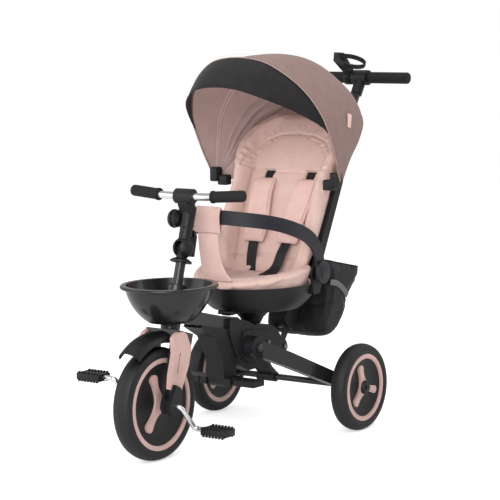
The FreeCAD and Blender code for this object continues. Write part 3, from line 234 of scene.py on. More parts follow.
def plastic_material(name, colour, worn, roughness, grain, depth, coat, wear):
    """Moulded or painted surface with a fine grain, faint flow marks and rubbed edges."""
    material, tree, shader = start_material(name, roughness)
    shader.inputs["Specular IOR Level"].default_value = 0.3
    texture = use_group(tree, GRAIN, Grain=grain)
    rubbed = use_group(tree, EDGE_WEAR, Spread=wear)
    marks = spread(tree, texture.outputs["Marks"], 0.35, 0.7, 0.0, 0.35)
    base = mix_colours(tree, marks, tint(*colour), tint(*worn), None)
    mix_colours(tree, rubbed.outputs["Mask"], base, tint(*worn), shader.inputs["Base Color"])
    tree.links.new(spread(tree, texture.outputs["Marks"], 0.3, 0.7, roughness - 0.05, roughness + 0.08),
                   shader.inputs["Roughness"])
    if coat:
        shader.inputs["Coat Weight"].default_value = coat
        shader.inputs["Coat Roughness"].default_value = 0.08
    add_bump(tree, shader, texture.outputs["Height"], depth, 0.5)
    return material


def metal_material(name, colour, worn, roughness):
    """Polished or plain metal with faint marks."""
    material, tree, shader = start_material(name, roughness, 1.0)
    texture = use_group(tree, GRAIN, Grain=260.0, Flow=30.0)
    marks = spread(tree, texture.outputs["Marks"], 0.4, 0.7, 0.0, 0.5)
    mix_colours(tree, marks, tint(*colour), tint(*worn), shader.inputs["Base Color"])
    tree.links.new(spread(tree, texture.outputs["Marks"], 0.3, 0.7, roughness, roughness + 0.12),
                   shader.inputs["Roughness"])
    add_bump(tree, shader, texture.outputs["Height"], 0.0001, 0.15)
    return material


# Cloths: colour, shade, threads, weave depth in metres, sheen, roughness.
CLOTHS = {
    "pink_cloth": ((213, 183, 174), (203, 172, 163), 900.0, 0.0006, 0.12, 0.9),
    "pad_cloth": ((220, 186, 178), (210, 175, 167), 1100.0, 0.0006, 0.12, 0.9),
    "pink_tag": ((240, 200, 192), (232, 190, 182), 1400.0, 0.0003, 0.05, 0.9),
    "taupe_cloth": ((139, 112, 106), (130, 104, 98), 900.0, 0.0006, 0.1, 0.9),
    # The lining is its own pinkish taupe made lighter with painted light, for the light that falls on the
    # canopy's shaded inside.
    "lining_cloth": ((196, 172, 168), (186, 162, 158), 1100.0, 0.0006, 0.1, 0.9),
    "visor_cloth": ((23, 20, 22), (18, 15, 18), 1300.0, 0.0006, 0.04, 0.75),
    "light_piping": ((205, 182, 172), (190, 166, 157), 1500.0, 0.0003, 0.1, 0.9),
    "hem_piping": ((168, 146, 138), (150, 128, 120), 1500.0, 0.0003, 0.1, 0.9),
    "taupe_thread": ((188, 160, 150), (170, 142, 133), 2500.0, 0.0002, 0.1, 0.9),
    "pink_thread": ((240, 208, 200), (222, 188, 180), 2500.0, 0.0002, 0.1, 0.9),
    "black_cloth": ((26, 25, 27), (17, 16, 18), 1400.0, 0.0006, 0.05, 0.8),
    "bag_cloth": ((26, 25, 27), (17, 16, 18), 800.0, 0.0009, 0.06, 0.7),
    "grey_webbing": ((122, 120, 120), (96, 94, 94), 900.0, 0.0006, 0.05, 0.9),
    "webbing": ((30, 29, 31), (18, 17, 19), 700.0, 0.0008, 0.05, 0.65),
}
# Plastics and paints: colour, rubbed colour, roughness, grain, grain depth in metres, coat, wear.
PLASTICS = {
    "dark_plastic": ((16, 16, 18), (34, 33, 36), 0.45, 900.0, 0.0002, 0.0, 0.5),
    "gloss_plastic": ((19, 19, 22), (36, 35, 38), 0.3, 900.0, 0.0002, 0.3, 0.2),
    "band_vinyl": ((30, 29, 35), (46, 46, 53), 0.42, 700.0, 0.0003, 0.0, 0.2),
    # The pink plastic's colour is its own pink darkened with painted shade; its rubbed colour is close to its
    # own lighter pink.
    "pink_plastic": ((176, 144, 138), (226, 190, 182), 0.38, 900.0, 0.0002, 0.15, 0.5),
    "dark_paint": ((22, 22, 24), (44, 44, 48), 0.3, 500.0, 0.00015, 0.3, 0.5),
    "tyre_foam": ((21, 20, 22), (44, 44, 46), 0.5, 1200.0, 0.0004, 0.0, 0.3),
    "grip_foam": ((17, 16, 18), (33, 32, 35), 0.7, 700.0, 0.0004, 0.0, 0.5),
}
# Metals: colour, marked colour, roughness.
METALS = {
    "bright_metal": ((222, 222, 224), (190, 190, 194), 0.12),
    "grey_metal": ((128, 128, 132), (96, 96, 100), 0.3),
}
MATERIALS = {}
for make_material, recipes in ((cloth_material, CLOTHS), (plastic_material, PLASTICS),
                               (metal_material, METALS)):
    for material_name, recipe in recipes.items():
        MATERIALS[material_name] = make_material(material_name, *recipe)

# Every solid's finish, also of those that a cloth piece stands for.
NODE_FINISHES = {
    "tyre_foam": ["front_tyre", "rear_tyre_left", "rear_tyre_right"],
    "pink_plastic": ["front_rim", "rear_rim_left", "rear_rim_right", "fork_covers"],
    "dark_plastic": [
        "front_discs", "rear_discs_left", "rear_discs_right", "hub_covers", "stem_knuckle", "handlebar_stem",
        "bell_base", "hub_housing", "hub_side_plates", "footrest_bracket", "foot_peg_left", "foot_peg_right",
        "pedal_left", "pedal_right", "brake_lever", "axle_rod", "swivel_cone", "swivel_lever", "seat_shell",
        "canopy_hubs", "handle_bracket", "t_bar_hub", "cup_holder", "front_mudguard", "back_frame",
        "head_bearings", "bell_dome", "stem_lever"],
    "gloss_plastic": ["front_bowl"],
    "band_vinyl": ["safety_ring"],
    "dark_paint": ["fork", "steering_tube", "head_tube", "main_beam", "leg_left", "leg_right", "axle_tube",
                   "push_tube_lower", "push_tube_upper"],
    "bright_metal": ["handlebar", "crank"],
    "grey_metal": ["hub_bolts"],
    "grip_foam": ["grip_left", "grip_right", "push_grip"],
    "pink_cloth": ["seat_cushion", "back_cushion", "ring_sleeve"],
    "taupe_cloth": ["rear_hood", "front_hood", "sun_visor"],
    "black_cloth": ["harness", "storage_bag"],
}
for finish, names in NODE_FINISHES.items():
    for solid_name in names:
        solid = frame["nodes"][solid_name]
        solid.data.materials.clear()
        solid.data.materials.append(MATERIALS[finish])


def deselect():
    bpy.ops.object.select_all(action="DESELECT")


def apply_modifiers(piece):
    deselect()
    bpy.context.view_layer.objects.active = piece
    piece.select_set(True)
    for modifier in list(piece.modifiers):
        bpy.ops.object.modifier_apply(modifier=modifier.name)
    return piece


def smooth_line(points, count, closed=False):
    """Points spaced evenly along a smooth curve through the given ones."""
    knots = [Vector(point) for point in points]
    if closed:
        knots = [knots[-1]] + knots + [knots[0], knots[1]]
    gaps = [max((b - a).length, 1e-9) for a, b in zip(knots, knots[1:])]
    slopes = [(knots[1] - knots[0]) / gaps[0]]
    for before, here, after, near, far in zip(knots, knots[1:], knots[2:], gaps, gaps[1:]):
        slopes.append(((here - before) / near * far + (after - here) / far * near) / (near + far))
    slopes.append((knots[-1] - knots[-2]) / gaps[-1])
    dense = []
    steps = 16
    spans = range(1, len(knots) - 2) if closed else range(len(knots) - 1)
    for span in spans:
        start, end, gap = knots[span], knots[span + 1], gaps[span]
        for step in range(steps):
            t = step / steps
            dense.append(start * (2 * t ** 3 - 3 * t ** 2 + 1)
                         + slopes[span] * gap * (t ** 3 - 2 * t ** 2 + t)
                         + end * (3 * t ** 2 - 2 * t ** 3)
                         + slopes[span + 1] * gap * (t ** 3 - t ** 2))
    dense.append(dense[0] if closed else knots[-1])
    lengths = [0.0]
    for a, b in zip(dense, dense[1:]):
        lengths.append(lengths[-1] + (b - a).length)
    line = []
    index = 0
    for step in range(count):
        target = lengths[-1] * step / (count if closed else count - 1)
        while index < len(dense) - 2 and lengths[index + 1] < target:
            index += 1
        share = (target - lengths[index]) / max(lengths[index + 1] - lengths[index], 1e-9)
        line.append(dense[index].lerp(dense[index + 1], min(max(share, 0.0), 1.0)))
    return line


def eased(table, where):
    """The values of a table of (place, value, ...) rows at one place, on a smooth curve."""
    rows = [(row[0], Vector(row[1:]) if len(row) > 2 else Vector((row[1], 0.0))) for row in table]
    if where <= rows[0][0]:
        return rows[0][1]
    if where >= rows[-1][0]:
        return rows[-1][1]
    index = max(i for i, row in enumerate(rows) if row[0] <= where)
    place, value = rows[index]
    next_place, next_value = rows[index + 1]
    gap = next_place - place
    before = rows[index - 1] if index else rows[index]
    after = rows[index + 2] if index + 2 < len(rows) else rows[index + 1]
    slope = (next_value - before[1]) / (next_place - before[0]) * gap
    next_slope = (after[1] - value) / (after[0] - place) * gap
    t = (where - place) / gap
    return (value * (2 * t ** 3 - 3 * t ** 2 + 1) + slope * (t ** 3 - 2 * t ** 2 + t)
            + next_value * (3 * t ** 2 - 2 * t ** 3) + next_slope * (t ** 3 - t ** 2))


def share_between(value, low, high):
    """How far a value has come from low to high, from 0 to 1."""
    return min(max((value - low) / (high - low), 0.0), 1.0)


def make_piece(name, points, faces):
    mesh = bpy.data.meshes.new(name)
    mesh.from_pydata([tuple(point) for point in points], [], faces)
    mesh.update()
    mesh.shade_smooth()
    piece = bpy.data.objects.new(name, mesh)
    bpy.context.scene.collection.objects.link(piece)
    return piece


def face_outwards(piece):
    """Makes a closed piece's faces point out."""
    shape = bmesh.new()
    shape.from_mesh(piece.data)
    bmesh.ops.remove_doubles(shape, verts=shape.verts, dist=1e-6)
    bmesh.ops.recalc_face_normals(shape, faces=shape.faces)
    shape.to_mesh(piece.data)
    shape.free()
    return piece


def sheet_from(name, rows, outwards):
    """An open sheet through rows of points; outwards gives the side that its faces look to."""
    width = len(rows[0])
    faces = []
    for row in range(len(rows) - 1):
        for column in range(width - 1):
            corner = row * width + column
            faces.append((corner, corner + 1, corner + width + 1, corner + width))
    piece = make_piece(name, [point for row in rows for point in row], faces)
    middle = piece.data.polygons[len(faces) // 2 + width // 2]
    if middle.normal.dot(outwards(middle.center)) < 0:
        piece.data.flip_normals()
    return piece


def shell_from(name, rings):
    """A closed skin through rings of points, with its two ends filled to their middles."""
    width = len(rings[0])
    points = [point for ring in rings for point in ring]
    faces = []
    for ring in range(len(rings) - 1):
        for column in range(width):
            beside = (column + 1) % width
            first, second = ring * width, (ring + 1) * width
            faces.append((first + column, first + beside, second + beside, second + column))
    for start, ring in ((0, rings[0]), ((len(rings) - 1) * width, rings[-1])):
        points.append(sum(ring, Vector()) / width)
        for column in range(width):
            faces.append((start + column, start + (column + 1) % width, len(points) - 1))
    return face_outwards(make_piece(name, points, faces))


def thicken(piece, thickness):
    """Gives a sheet its thickness, on the inner side."""
    wall = piece.modifiers.new("wall", "SOLIDIFY")
    wall.thickness = thickness
    wall.offset = -1.0
    return apply_modifiers(piece)


def sweep(name, path, outline, up):
    """A closed bar along a path. The outline gives (side, up) offsets, scaled by its own share of the way."""
    rings = []
    last = len(path) - 1
    for index, point in enumerate(path):
        ahead = (path[min(index + 1, last)] - path[max(index - 1, 0)]).normalized()
        lift = up(index / last) if callable(up) else up
        side = ahead.cross(lift).normalized()
        over = side.cross(ahead).normalized()
        shape = outline(index / last) if callable(outline) else outline
        rings.append([point + side * across + over * height for across, height in shape])
    return shell_from(name, rings)


def round_outline(radius, sides=10):
    return [(radius * math.cos(2 * math.pi * k / sides), radius * math.sin(2 * math.pi * k / sides))
            for k in range(sides)]


def pad_outline(half_width, half_depth, sides=28, power=0.55):
    """A flat section with full rounded edges."""
    corners = []
    for k in range(sides):
        turn = 2 * math.pi * k / sides
        across, height = math.cos(turn), math.sin(turn)
        corners.append((half_width * math.copysign(abs(across) ** power, across),
                        half_depth * math.copysign(abs(height) ** power, height)))
    return corners


def dress(piece, finish, body=None, replaced=()):
    """Gives a new piece its material, its body and the nodes that it stands for."""
    piece.data.materials.clear()
    piece.data.materials.append(MATERIALS[finish])
    if body:
        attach(piece, body)
    if replaced:
        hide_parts(*replaced)
    return piece


SPINDLE_FACES = ((0, 2, 4), (0, 4, 3), (0, 3, 5), (0, 5, 2), (1, 4, 2), (1, 3, 4), (1, 5, 3), (1, 2, 5))


def stitch_line(name, path, normals, pitch):
    """A row of thread stitches along a path, each a small six-cornered spindle."""
    points, faces = [], []
    long, thick = pitch * 0.36, 0.00045
    total = sum((b - a).length for a, b in zip(path, path[1:]))
    count = max(int(total / pitch), 2)
    line = smooth_line(path, count * 2)
    for index in range(1, len(line) - 1, 2):
        normal = normals[min(int(index / len(line) * len(normals)), len(normals) - 1)]
        ahead = (line[index + 1] - line[index - 1]).normalized()
        side = ahead.cross(normal).normalized()
        start = len(points)
        middle = line[index] + normal * thick
        points += [middle - ahead * long, middle + ahead * long, middle + side * thick, middle - side * thick,
                   middle + normal * thick, middle - normal * thick]
        faces += [(start + a, start + b, start + c) for a, b, c in SPINDLE_FACES]
    return make_piece(name, points, faces)


def swell(piece, voxel, cap, pressure=4.0, frames=20):
    """Fills a closed cover by cloth simulation; no point moves further than the cap."""
    remesh = piece.modifiers.new("remesh", "REMESH")
    remesh.mode = "VOXEL"
    remesh.voxel_size = voxel
    apply_modifiers(piece)
    before = np.array([vertex.co for vertex in piece.data.vertices])
    cloth = piece.modifiers.new("cloth", "CLOTH")
    cloth.settings.use_pressure = True
    cloth.settings.uniform_pressure_force = pressure
    cloth.settings.effector_weights.gravity = 0.0
    cloth.collision_settings.use_collision = False
    cloth.point_cache.frame_start = 1
    cloth.point_cache.frame_end = frames
    scene = bpy.context.scene
    for frame_number in range(1, frames + 1):
        scene.frame_set(frame_number)
    filled = piece.evaluated_get(bpy.context.evaluated_depsgraph_get())
    after = np.array([vertex.co for vertex in filled.data.vertices])
    piece.modifiers.remove(cloth)
    scene.frame_set(1)
    move = after - before
    reach = np.linalg.norm(move, axis=1, keepdims=True)
    move *= np.minimum(1.0, cap / np.maximum(reach, 1e-9))
    piece.data.vertices.foreach_set("co", (before + move).ravel())
    piece.data.update()
    finer = piece.modifiers.new("finer", "SUBSURF")
    finer.levels = finer.render_levels = 1
    apply_modifiers(piece)
    piece.data.shade_smooth()
    return piece


def line_distance(x, z, corners):
    """Distance of each point to a bent line, in the plane of a cushion's face."""
    best = np.full(len(x), 1e9)
    for (ax, az), (bx, bz) in zip(corners, corners[1:]):
        dx, dz = bx - ax, bz - az
        share = np.clip(((x - ax) * dx + (z - az) * dz) / (dx * dx + dz * dz), 0.0, 1.0)
        best = np.minimum(best, np.hypot(x - ax - share * dx, z - az - share * dz))
    return best


def read_vertices(piece):
    place = np.empty(len(piece.data.vertices) * 3)
    piece.data.vertices.foreach_get("co", place)
    facing = np.empty(len(place))
    piece.data.vertex_normals.foreach_get("vector", facing)
    return place.reshape(-1, 3), facing.reshape(-1, 3)


def write_vertices(piece, place):
    piece.data.vertices.foreach_set("co", place.ravel())
    piece.data.update()


# The canopy turns about its hub axis. Angles, in degrees, count up from straight ahead, and radii are metres
# from that axis. The sides are (share of the radius, half width) from hub to crown, in front and at the rear.
HUB_BORE = 0.012
HUB_HALF = 0.188
FRONT_GROW = 1.0255
HOOP_ANGLE = 63.0
REAR_ANGLE = 138.0
HOOD_RADII = ((60.0, 0.3560), (63.0, 0.3555), (66.0, 0.3450), (70.0, 0.3370), (77.0, 0.3325), (84.0, 0.3285),
              (91.0, 0.3245), (100.0, 0.3180), (112.0, 0.3130), (125.0, 0.3105), (138.0, 0.2980))
HOOD_WIDTHS = ((60.0, FRONT_GROW), (80.0, FRONT_GROW), (104.0, 1.0), (120.0, 0.975), (138.0, 0.925))
HOOD_SIDE = ((0.300, 0.196), (0.550, 0.192), (0.750, 0.162), (0.880, 0.120), (0.960, 0.078), (1.0, 0.0))
REAR_SIDE = ((0.300, 0.188), (0.550, 0.181), (0.750, 0.163), (0.880, 0.130), (0.960, 0.086), (1.0, 0.0))
RIB_ANGLE = 100.0
STAYS = (HOOP_ANGLE, RIB_ANGLE, REAR_ANGLE)


def hood_spot(angle, across, out):
    """A point of the canopy from its angle, its place across and its distance from the hub axis."""
    turn = math.radians(angle)
    return Vector((across, HOOD_PIVOT.y - out * math.cos(turn), HOOD_PIVOT.z + out * math.sin(turn)))


def hood_row(angle, count, inset=0.0):
    """The canopy's line from hub to hub in one radial plane, as (across, out) pairs."""
    radius = eased(HOOD_RADII, angle)[0] - inset
    grow = eased(HOOD_WIDTHS, angle)[0]
    rearward = share_between(angle, 96.0, REAR_ANGLE)
    start = HUB_HALF * (FRONT_GROW - (FRONT_GROW - 1.0) * share_between(angle, 80.0, 104.0))
    side = [(start - inset, HUB_BORE)]
    for (share, half), (rear_share, rear_half) in zip(HOOD_SIDE, REAR_SIDE):
        wide = (half + (rear_half - half) * rearward) * grow
        side.append((max(wide - inset, 0.0), share * radius))
    line = smooth_line(side + [(-x, y) for x, y in reversed(side[:-1])], count)
    return [(point[0], point[1]) for point in line]


def hood_sag(angle, out, radius):
    """How far the cloth sinks between two stays, deepest half way between them and above the hub."""
    share = 0.0
    for low, high in zip(STAYS, STAYS[1:]):
        if low <= angle <= high:
            share = math.sin(math.pi * (angle - low) / (high - low)) ** 2
    return 0.0055 * share * min(out / radius, 1.0)


def hood_rows(first, last, rows, count, inset, lift):
    """Rows of points over the canopy; lift gives a further move towards the hub axis."""
    grid = []
    for row in range(rows):
        angle = first + (last - first) * row / (rows - 1)
        radius = eased(HOOD_RADII, angle)[0]
        line = []
        for index, (across, out) in enumerate(hood_row(angle, count, inset)):
            sink = lift(angle, out, radius, index / (count - 1))
            line.append(hood_spot(angle, across * (1.0 - sink * 1.5), out * (1.0 - sink / radius)))
        grid.append(line)
    return grid


def from_hub(point):
    """The way out of the canopy at a point."""
    return Vector((point.x * 0.6, point.y - HOOD_PIVOT.y, point.z - HOOD_PIVOT.z))


def dress_hood(piece, finish, replaced=()):
    """Dresses a canopy piece and bakes its placement into its points."""
    dress(piece, finish, None, replaced)
    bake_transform(piece)


def outer_lift(angle, out, radius, share):
    pucker = 0.0008 * math.sin(angle * 0.9 + 3.0) * math.exp(-((out - 0.07) / 0.05) ** 2)
    return hood_sag(angle, out, radius) + pucker


def lining_lift(angle, out, radius, share):
    """The lining hangs below the outer cloth, with a double rib at the middle stay and folds behind it."""
    hanging = min(out / radius, 1.0)
    middle = math.sin(math.pi * (angle - HOOP_ANGLE) / (REAR_ANGLE - HOOP_ANGLE))
    sink = hood_sag(angle, out, radius) + 0.0030 + 0.0045 * middle ** 0.7 * hanging
    for ridge in (RIB_ANGLE - 1.6, RIB_ANGLE + 1.6):
        sink += 0.0042 * math.exp(-((angle - ridge) / 0.60) ** 2)
    for fold, depth in ((118.0, 0.5), (125.5, 1.0), (131.5, 1.0), (135.5, 0.6)):
        along = math.exp(-((out - 0.16) / 0.10) ** 2)
        bent = fold + 5.0 * (out / radius) ** 2
        sink += 0.0085 * depth * along * math.exp(-((angle - bent) / 1.5) ** 2)
    return sink


def make_canopy_skins():
    """One outer sheet from the front hoop to the rear edge, its lining and the hems over both hoops."""
    rows = hood_rows(HOOP_ANGLE, REAR_ANGLE, 76, 121, 0.0, outer_lift)
    outer = thicken(sheet_from("canopy_outer", rows, from_hub), 0.0016)
    dress_hood(outer, "taupe_cloth", replaced=("rear_hood", "front_hood"))

    rows = hood_rows(HOOP_ANGLE + 0.4, REAR_ANGLE - 0.4, 188, 97, 0.0018, lining_lift)
    lining = thicken(sheet_from("canopy_lining", rows, from_hub), 0.0008)
    # The lining's colour carries painted light on top of its own pinkish taupe.
    dress_hood(lining, "lining_cloth")

    for name, angle, thick in (("canopy_front_hem", HOOP_ANGLE, 0.0024),
                               ("canopy_rear_hem", REAR_ANGLE, 0.0022)):
        path = [hood_spot(angle, across, out) for across, out in hood_row(angle, 121, 0.0012)]
        turn = math.radians(angle)
        up = Vector((0.0, math.sin(turn), math.cos(turn)))
        dress_hood(sweep(name, path, round_outline(thick), up), "taupe_cloth")


# The visor's half width is a share of the hoop's half length, and its drop in degrees is deepest in the middle.
VISOR_HALF = 0.69
VISOR_DROP = 18.5
VISOR_TIP_DROP = 1.2


def make_visor():
    """The dark visor band below the front hoop, with its rolled rim, its piping and its seam."""
    hoop = hood_row(HOOP_ANGLE, 401)
    stations = 161
    lines = []
    for row in range(15):
        line = []
        for index in range(stations):
            across = VISOR_HALF * (2.0 * index / (stations - 1) - 1.0)
            place_x, out = hoop[round(200 + 200 * across)]
            share = row / 14.0
            swell_out = 0.0012 * math.sin(math.pi * share)
            drop = max(VISOR_DROP * (1.0 - abs(across / VISOR_HALF) ** 3.0), VISOR_TIP_DROP)
            narrow = 1.0 - 0.15 * share * drop / VISOR_DROP
            line.append(hood_spot(HOOP_ANGLE - drop * share, place_x * narrow, out + swell_out))
        lines.append(line)
    visor = thicken(sheet_from("canopy_visor", lines, from_hub), 0.0018)
    dress_hood(visor, "visor_cloth", replaced=("sun_visor",))

    rim_tilt = math.radians(55.0)
    rim_up = Vector((0.0, math.sin(rim_tilt), math.cos(rim_tilt)))
    dress_hood(sweep("visor_rim", lines[-1], round_outline(0.0019), rim_up), "visor_cloth")
    piping = [hood_spot(HOOP_ANGLE - 0.5, x * 1.004, out + 0.0012) for x, out in hoop[20:381:2]]
    dress_hood(sweep("visor_piping", piping, round_outline(0.0012), rim_up), "hem_piping")
    seam = [hood_spot(HOOP_ANGLE + 2.6, x * 1.001, out * 0.999) for x, out in hoop[30:371:3]]
    ways_out = [from_hub(point).normalized() for point in seam]
    dress_hood(stitch_line("canopy_stitches", seam, ways_out, 0.0055), "taupe_thread")


def make_rear_flap():
    """The pleated cloth from the canopy's rear edge down to the top of the back."""
    reach = hood_row(REAR_ANGLE, 121, 0.0035)
    rows = []
    for row in range(21):
        share = row / 20.0
        line = []
        for index, (across, out) in enumerate(reach):
            turn = math.pi * index / 120.0
            low = back_spot(140.0 * math.cos(turn), -2.0, 240.0 + 176.0 * math.sin(turn) ** 0.8)
            pleat = 0.0035 * math.sin(index * 0.62) * math.sin(math.pi * share)
            line.append(hood_spot(REAR_ANGLE, across, out).lerp(low, share) + Vector((0.0, -pleat, pleat)))
        rows.append(line)
    flap = thicken(sheet_from("canopy_rear_flap", rows, from_hub), 0.0008)
    dress_hood(flap, "lining_cloth")


def make_canopy_tag():
    """The small bare tag on the canopy's left side."""
    rows = []
    for row in range(9):
        line = []
        for column in range(7):
            out = 0.178 - 0.033 * row / 8.0
            angle = 96.0 + 8.0 * column / 6.0 + 2.0 * row / 8.0
            side = max(across for across, far in hood_row(angle, 121) if far < out + 0.004)
            sunk = hood_sag(angle, out, eased(HOOD_RADII, angle)[0])
            line.append(hood_spot(angle, side * (1.0 - sunk * 1.5) + 0.0012, out))
        rows.append(line)
    tag = thicken(sheet_from("canopy_tag", rows, from_hub), 0.0008)
    dress_hood(tag, "pink_tag")


# The back is drawn in millimetres in its own leaning frame. A level is its height, half width, half width over
# the wings' tips, the hollow's depth and the wings' depth.
BACK_LEAN = math.radians(26.7)
BACK_LEVELS = ((-12, 112, 122, 14, 32), (8, 121, 133, 14, 40), (60, 128, 146, 15, 56), (125, 131, 147, 15, 64),
               (190, 132, 144, 15, 66), (250, 132.5, 146, 16, 67), (285, 139, 152, 18, 66),
               (330, 147, 157, 20, 56), (375, 145, 150, 20, 36), (408, 128, 130, 18, 20),
               (426, 104, 104, 12, 11))
ARCH_SEAM = ((-121, 262), (-118, 290), (-107, 320), (-86, 345), (-50, 359), (0, 363), (50, 359), (86, 345),
             (107, 320), (118, 290), (121, 262))
SIDE_SEAM = ((-99, 262), (-98, 190), (-95, 110), (-86, 20))
FLOOR_SEAM = ((-92, 26), (-50, 34), (0, 37), (50, 34), (92, 26))
CROSS_SEAM = ((-119, 262), (0, 258), (119, 262))
SLOT_MIDDLES = (("left", -58.0), ("right", 66.0))
SLOT_HEIGHT = 250.0
SLOT_SLANT = 0.12


def back_spot(x, y, z):
    """A point of the leaning back, given in millimetres from its pivot: across, backwards and up."""
    along, off = z * 0.001, y * 0.001
    return Vector((x * 0.001, BACK_PIVOT.y + off * math.cos(BACK_LEAN) + along * math.sin(BACK_LEAN),
                   BACK_PIVOT.z - off * math.sin(BACK_LEAN) + along * math.cos(BACK_LEAN)))


def back_local(place):
    """World points as millimetres in the back's own frame."""
    y = place[:, 1] - BACK_PIVOT.y
    z = place[:, 2] - BACK_PIVOT.z
    across = place[:, 0] * 1000.0
    off = (y * math.cos(BACK_LEAN) - z * math.sin(BACK_LEAN)) * 1000.0
    along = (y * math.sin(BACK_LEAN) + z * math.cos(BACK_LEAN)) * 1000.0
    return across, off, along


def back_ring(z, count, inset):
    """The back cushion's section: flat behind, wings that flare forwards and a hollow middle."""
    half, tip, front, bolster = (value - inset for value in eased(BACK_LEVELS, z)[:4])
    back = 9.4 - inset
    inside = half - 34.0
    corners = [
        (-half + 14, back), (0.0, back), (half - 14, back), (half - 4, back - 4), (half, back - 14),
        ((half + tip) / 2 + 2, (back - 14 - bolster) / 2), (tip, -bolster + 9), (tip - 10, -bolster - 2),
        (tip - 24, -bolster + 6), (inside, -front - 3), (inside / 2, -front), (0.0, -front),
        (-inside / 2, -front), (-inside, -front - 3), (-tip + 24, -bolster + 6), (-tip + 10, -bolster - 2),
        (-tip, -bolster + 9), (-(half + tip) / 2 - 2, (back - 14 - bolster) / 2), (-half, back - 14),
        (-half + 4, back - 4)]
    low = 0.5 * min(max(1.0 - (z + 12.0) / 110.0, 0.0), 1.0)
    return [back_spot(point[0], point[1], z - low * max(-point[1] - 6.0, 0.0))
            for point in smooth_line(corners, count, closed=True)]


def make_back_cushion():
    """Padded back with wings, an arched head-rest panel, sewn channels and two harness slots."""
    heights = [-12 + 437 * k / 57.0 for k in range(58)]
    cushion = swell(shell_from("back_pad", [back_ring(z, 110, 2.5) for z in heights]), 0.005, 0.006)
    place, facing = read_vertices(cushion)
    x, y, z = back_local(place)
    forward = -(facing[:, 1] * math.cos(BACK_LEAN) - facing[:, 2] * math.sin(BACK_LEAN))
    front = np.clip((forward + 0.15) / 0.4, 0.0, 1.0)
    other_side = [(-across, height) for across, height in SIDE_SEAM]
    sink = 0.0
    for seam, depth, width in ((ARCH_SEAM, 4.2, 3.2), (CROSS_SEAM, 3.2, 3.0), (SIDE_SEAM, 4.0, 3.4),
                               (other_side, 4.0, 3.4), (FLOOR_SEAM, 4.5, 3.4)):
        sink += depth * np.exp(-(line_distance(x, z, seam) / width) ** 2)
    inside_arch = np.clip(1.0 - ((x / 112.0) ** 2 + ((z - 266.0) / 90.0) ** 2), 0.0, 1.0) * (z > 266)
    sink -= 5.0 * np.sqrt(inside_arch)
    low_panel = np.clip(1.0 - (x / 96.0) ** 4, 0.0, 1.0)
    sink -= 2.0 * low_panel * np.clip((z - 42) / 30, 0, 1) * np.clip((256 - z) / 18, 0, 1)
    wings = np.clip((np.abs(x) - 104.0) / 14.0, 0.0, 1.0)
    ripple = np.sin(z / 4.6 + np.abs(x) / 9.0) * np.exp(-((z - 240.0) / 70.0) ** 2)
    sink += 0.8 * wings * ripple
    fan = np.arctan2(z - 250.0, x)
    gathers = np.sin(fan * 34.0 + np.sin(fan * 9.0) * 2.0)
    beside_arch = np.exp(-((line_distance(x, z, ARCH_SEAM) - 11.0) / 9.0) ** 2) * (inside_arch <= 0.0)
    sink += 1.5 * gathers * beside_arch
    for word, middle in SLOT_MIDDLES:
        slant = middle + (z - SLOT_HEIGHT) * SLOT_SLANT
        across_slot = np.clip((16.0 - np.abs(x - slant)) / 3.0, 0, 1)
        sink += 9.0 * across_slot * np.clip((15.0 - np.abs(z - SLOT_HEIGHT)) / 3.0, 0, 1)
    place -= facing * (sink * front)[:, None] * 0.001
    x, y, z = back_local(place)
    too_far = np.maximum(y - 9.5, 0.0)
    beside = (z < 266.0) & (y > -15.0)
    over = np.where(beside, np.maximum(np.abs(x) - 133.2, 0.0), 0.0)
    place[:, 0] -= np.sign(x) * over * 0.001
    place[:, 1] -= too_far * math.cos(BACK_LEAN) * 0.001
    place[:, 2] += too_far * math.sin(BACK_LEAN) * 0.001
    write_vertices(cushion, place)
    dress(cushion, "pink_cloth", "backrest", ("back_cushion",))


def make_harness_slot_shades():
    """The two black patches of painted shade, set in the recessed slots that the shoulder straps come out of.
    """
    def forwards(point):
        return Vector((0.0, -1.0, 0.3))

    for word, middle in SLOT_MIDDLES:
        rows = []
        for k in range(7):
            height = SLOT_HEIGHT - 12.5 + 25.0 * k / 6.0
            slant = middle + (height - SLOT_HEIGHT) * SLOT_SLANT
            rows.append([back_spot(slant + 26.0 * (j / 6.0 - 0.5), -13.6, height) for j in range(7)])
        # Black cloth stands for the shade inside each slot.
        slot = thicken(sheet_from("harness_slot_shade_" + word, rows, forwards), 0.001)
        dress(slot, "black_cloth", "backrest")


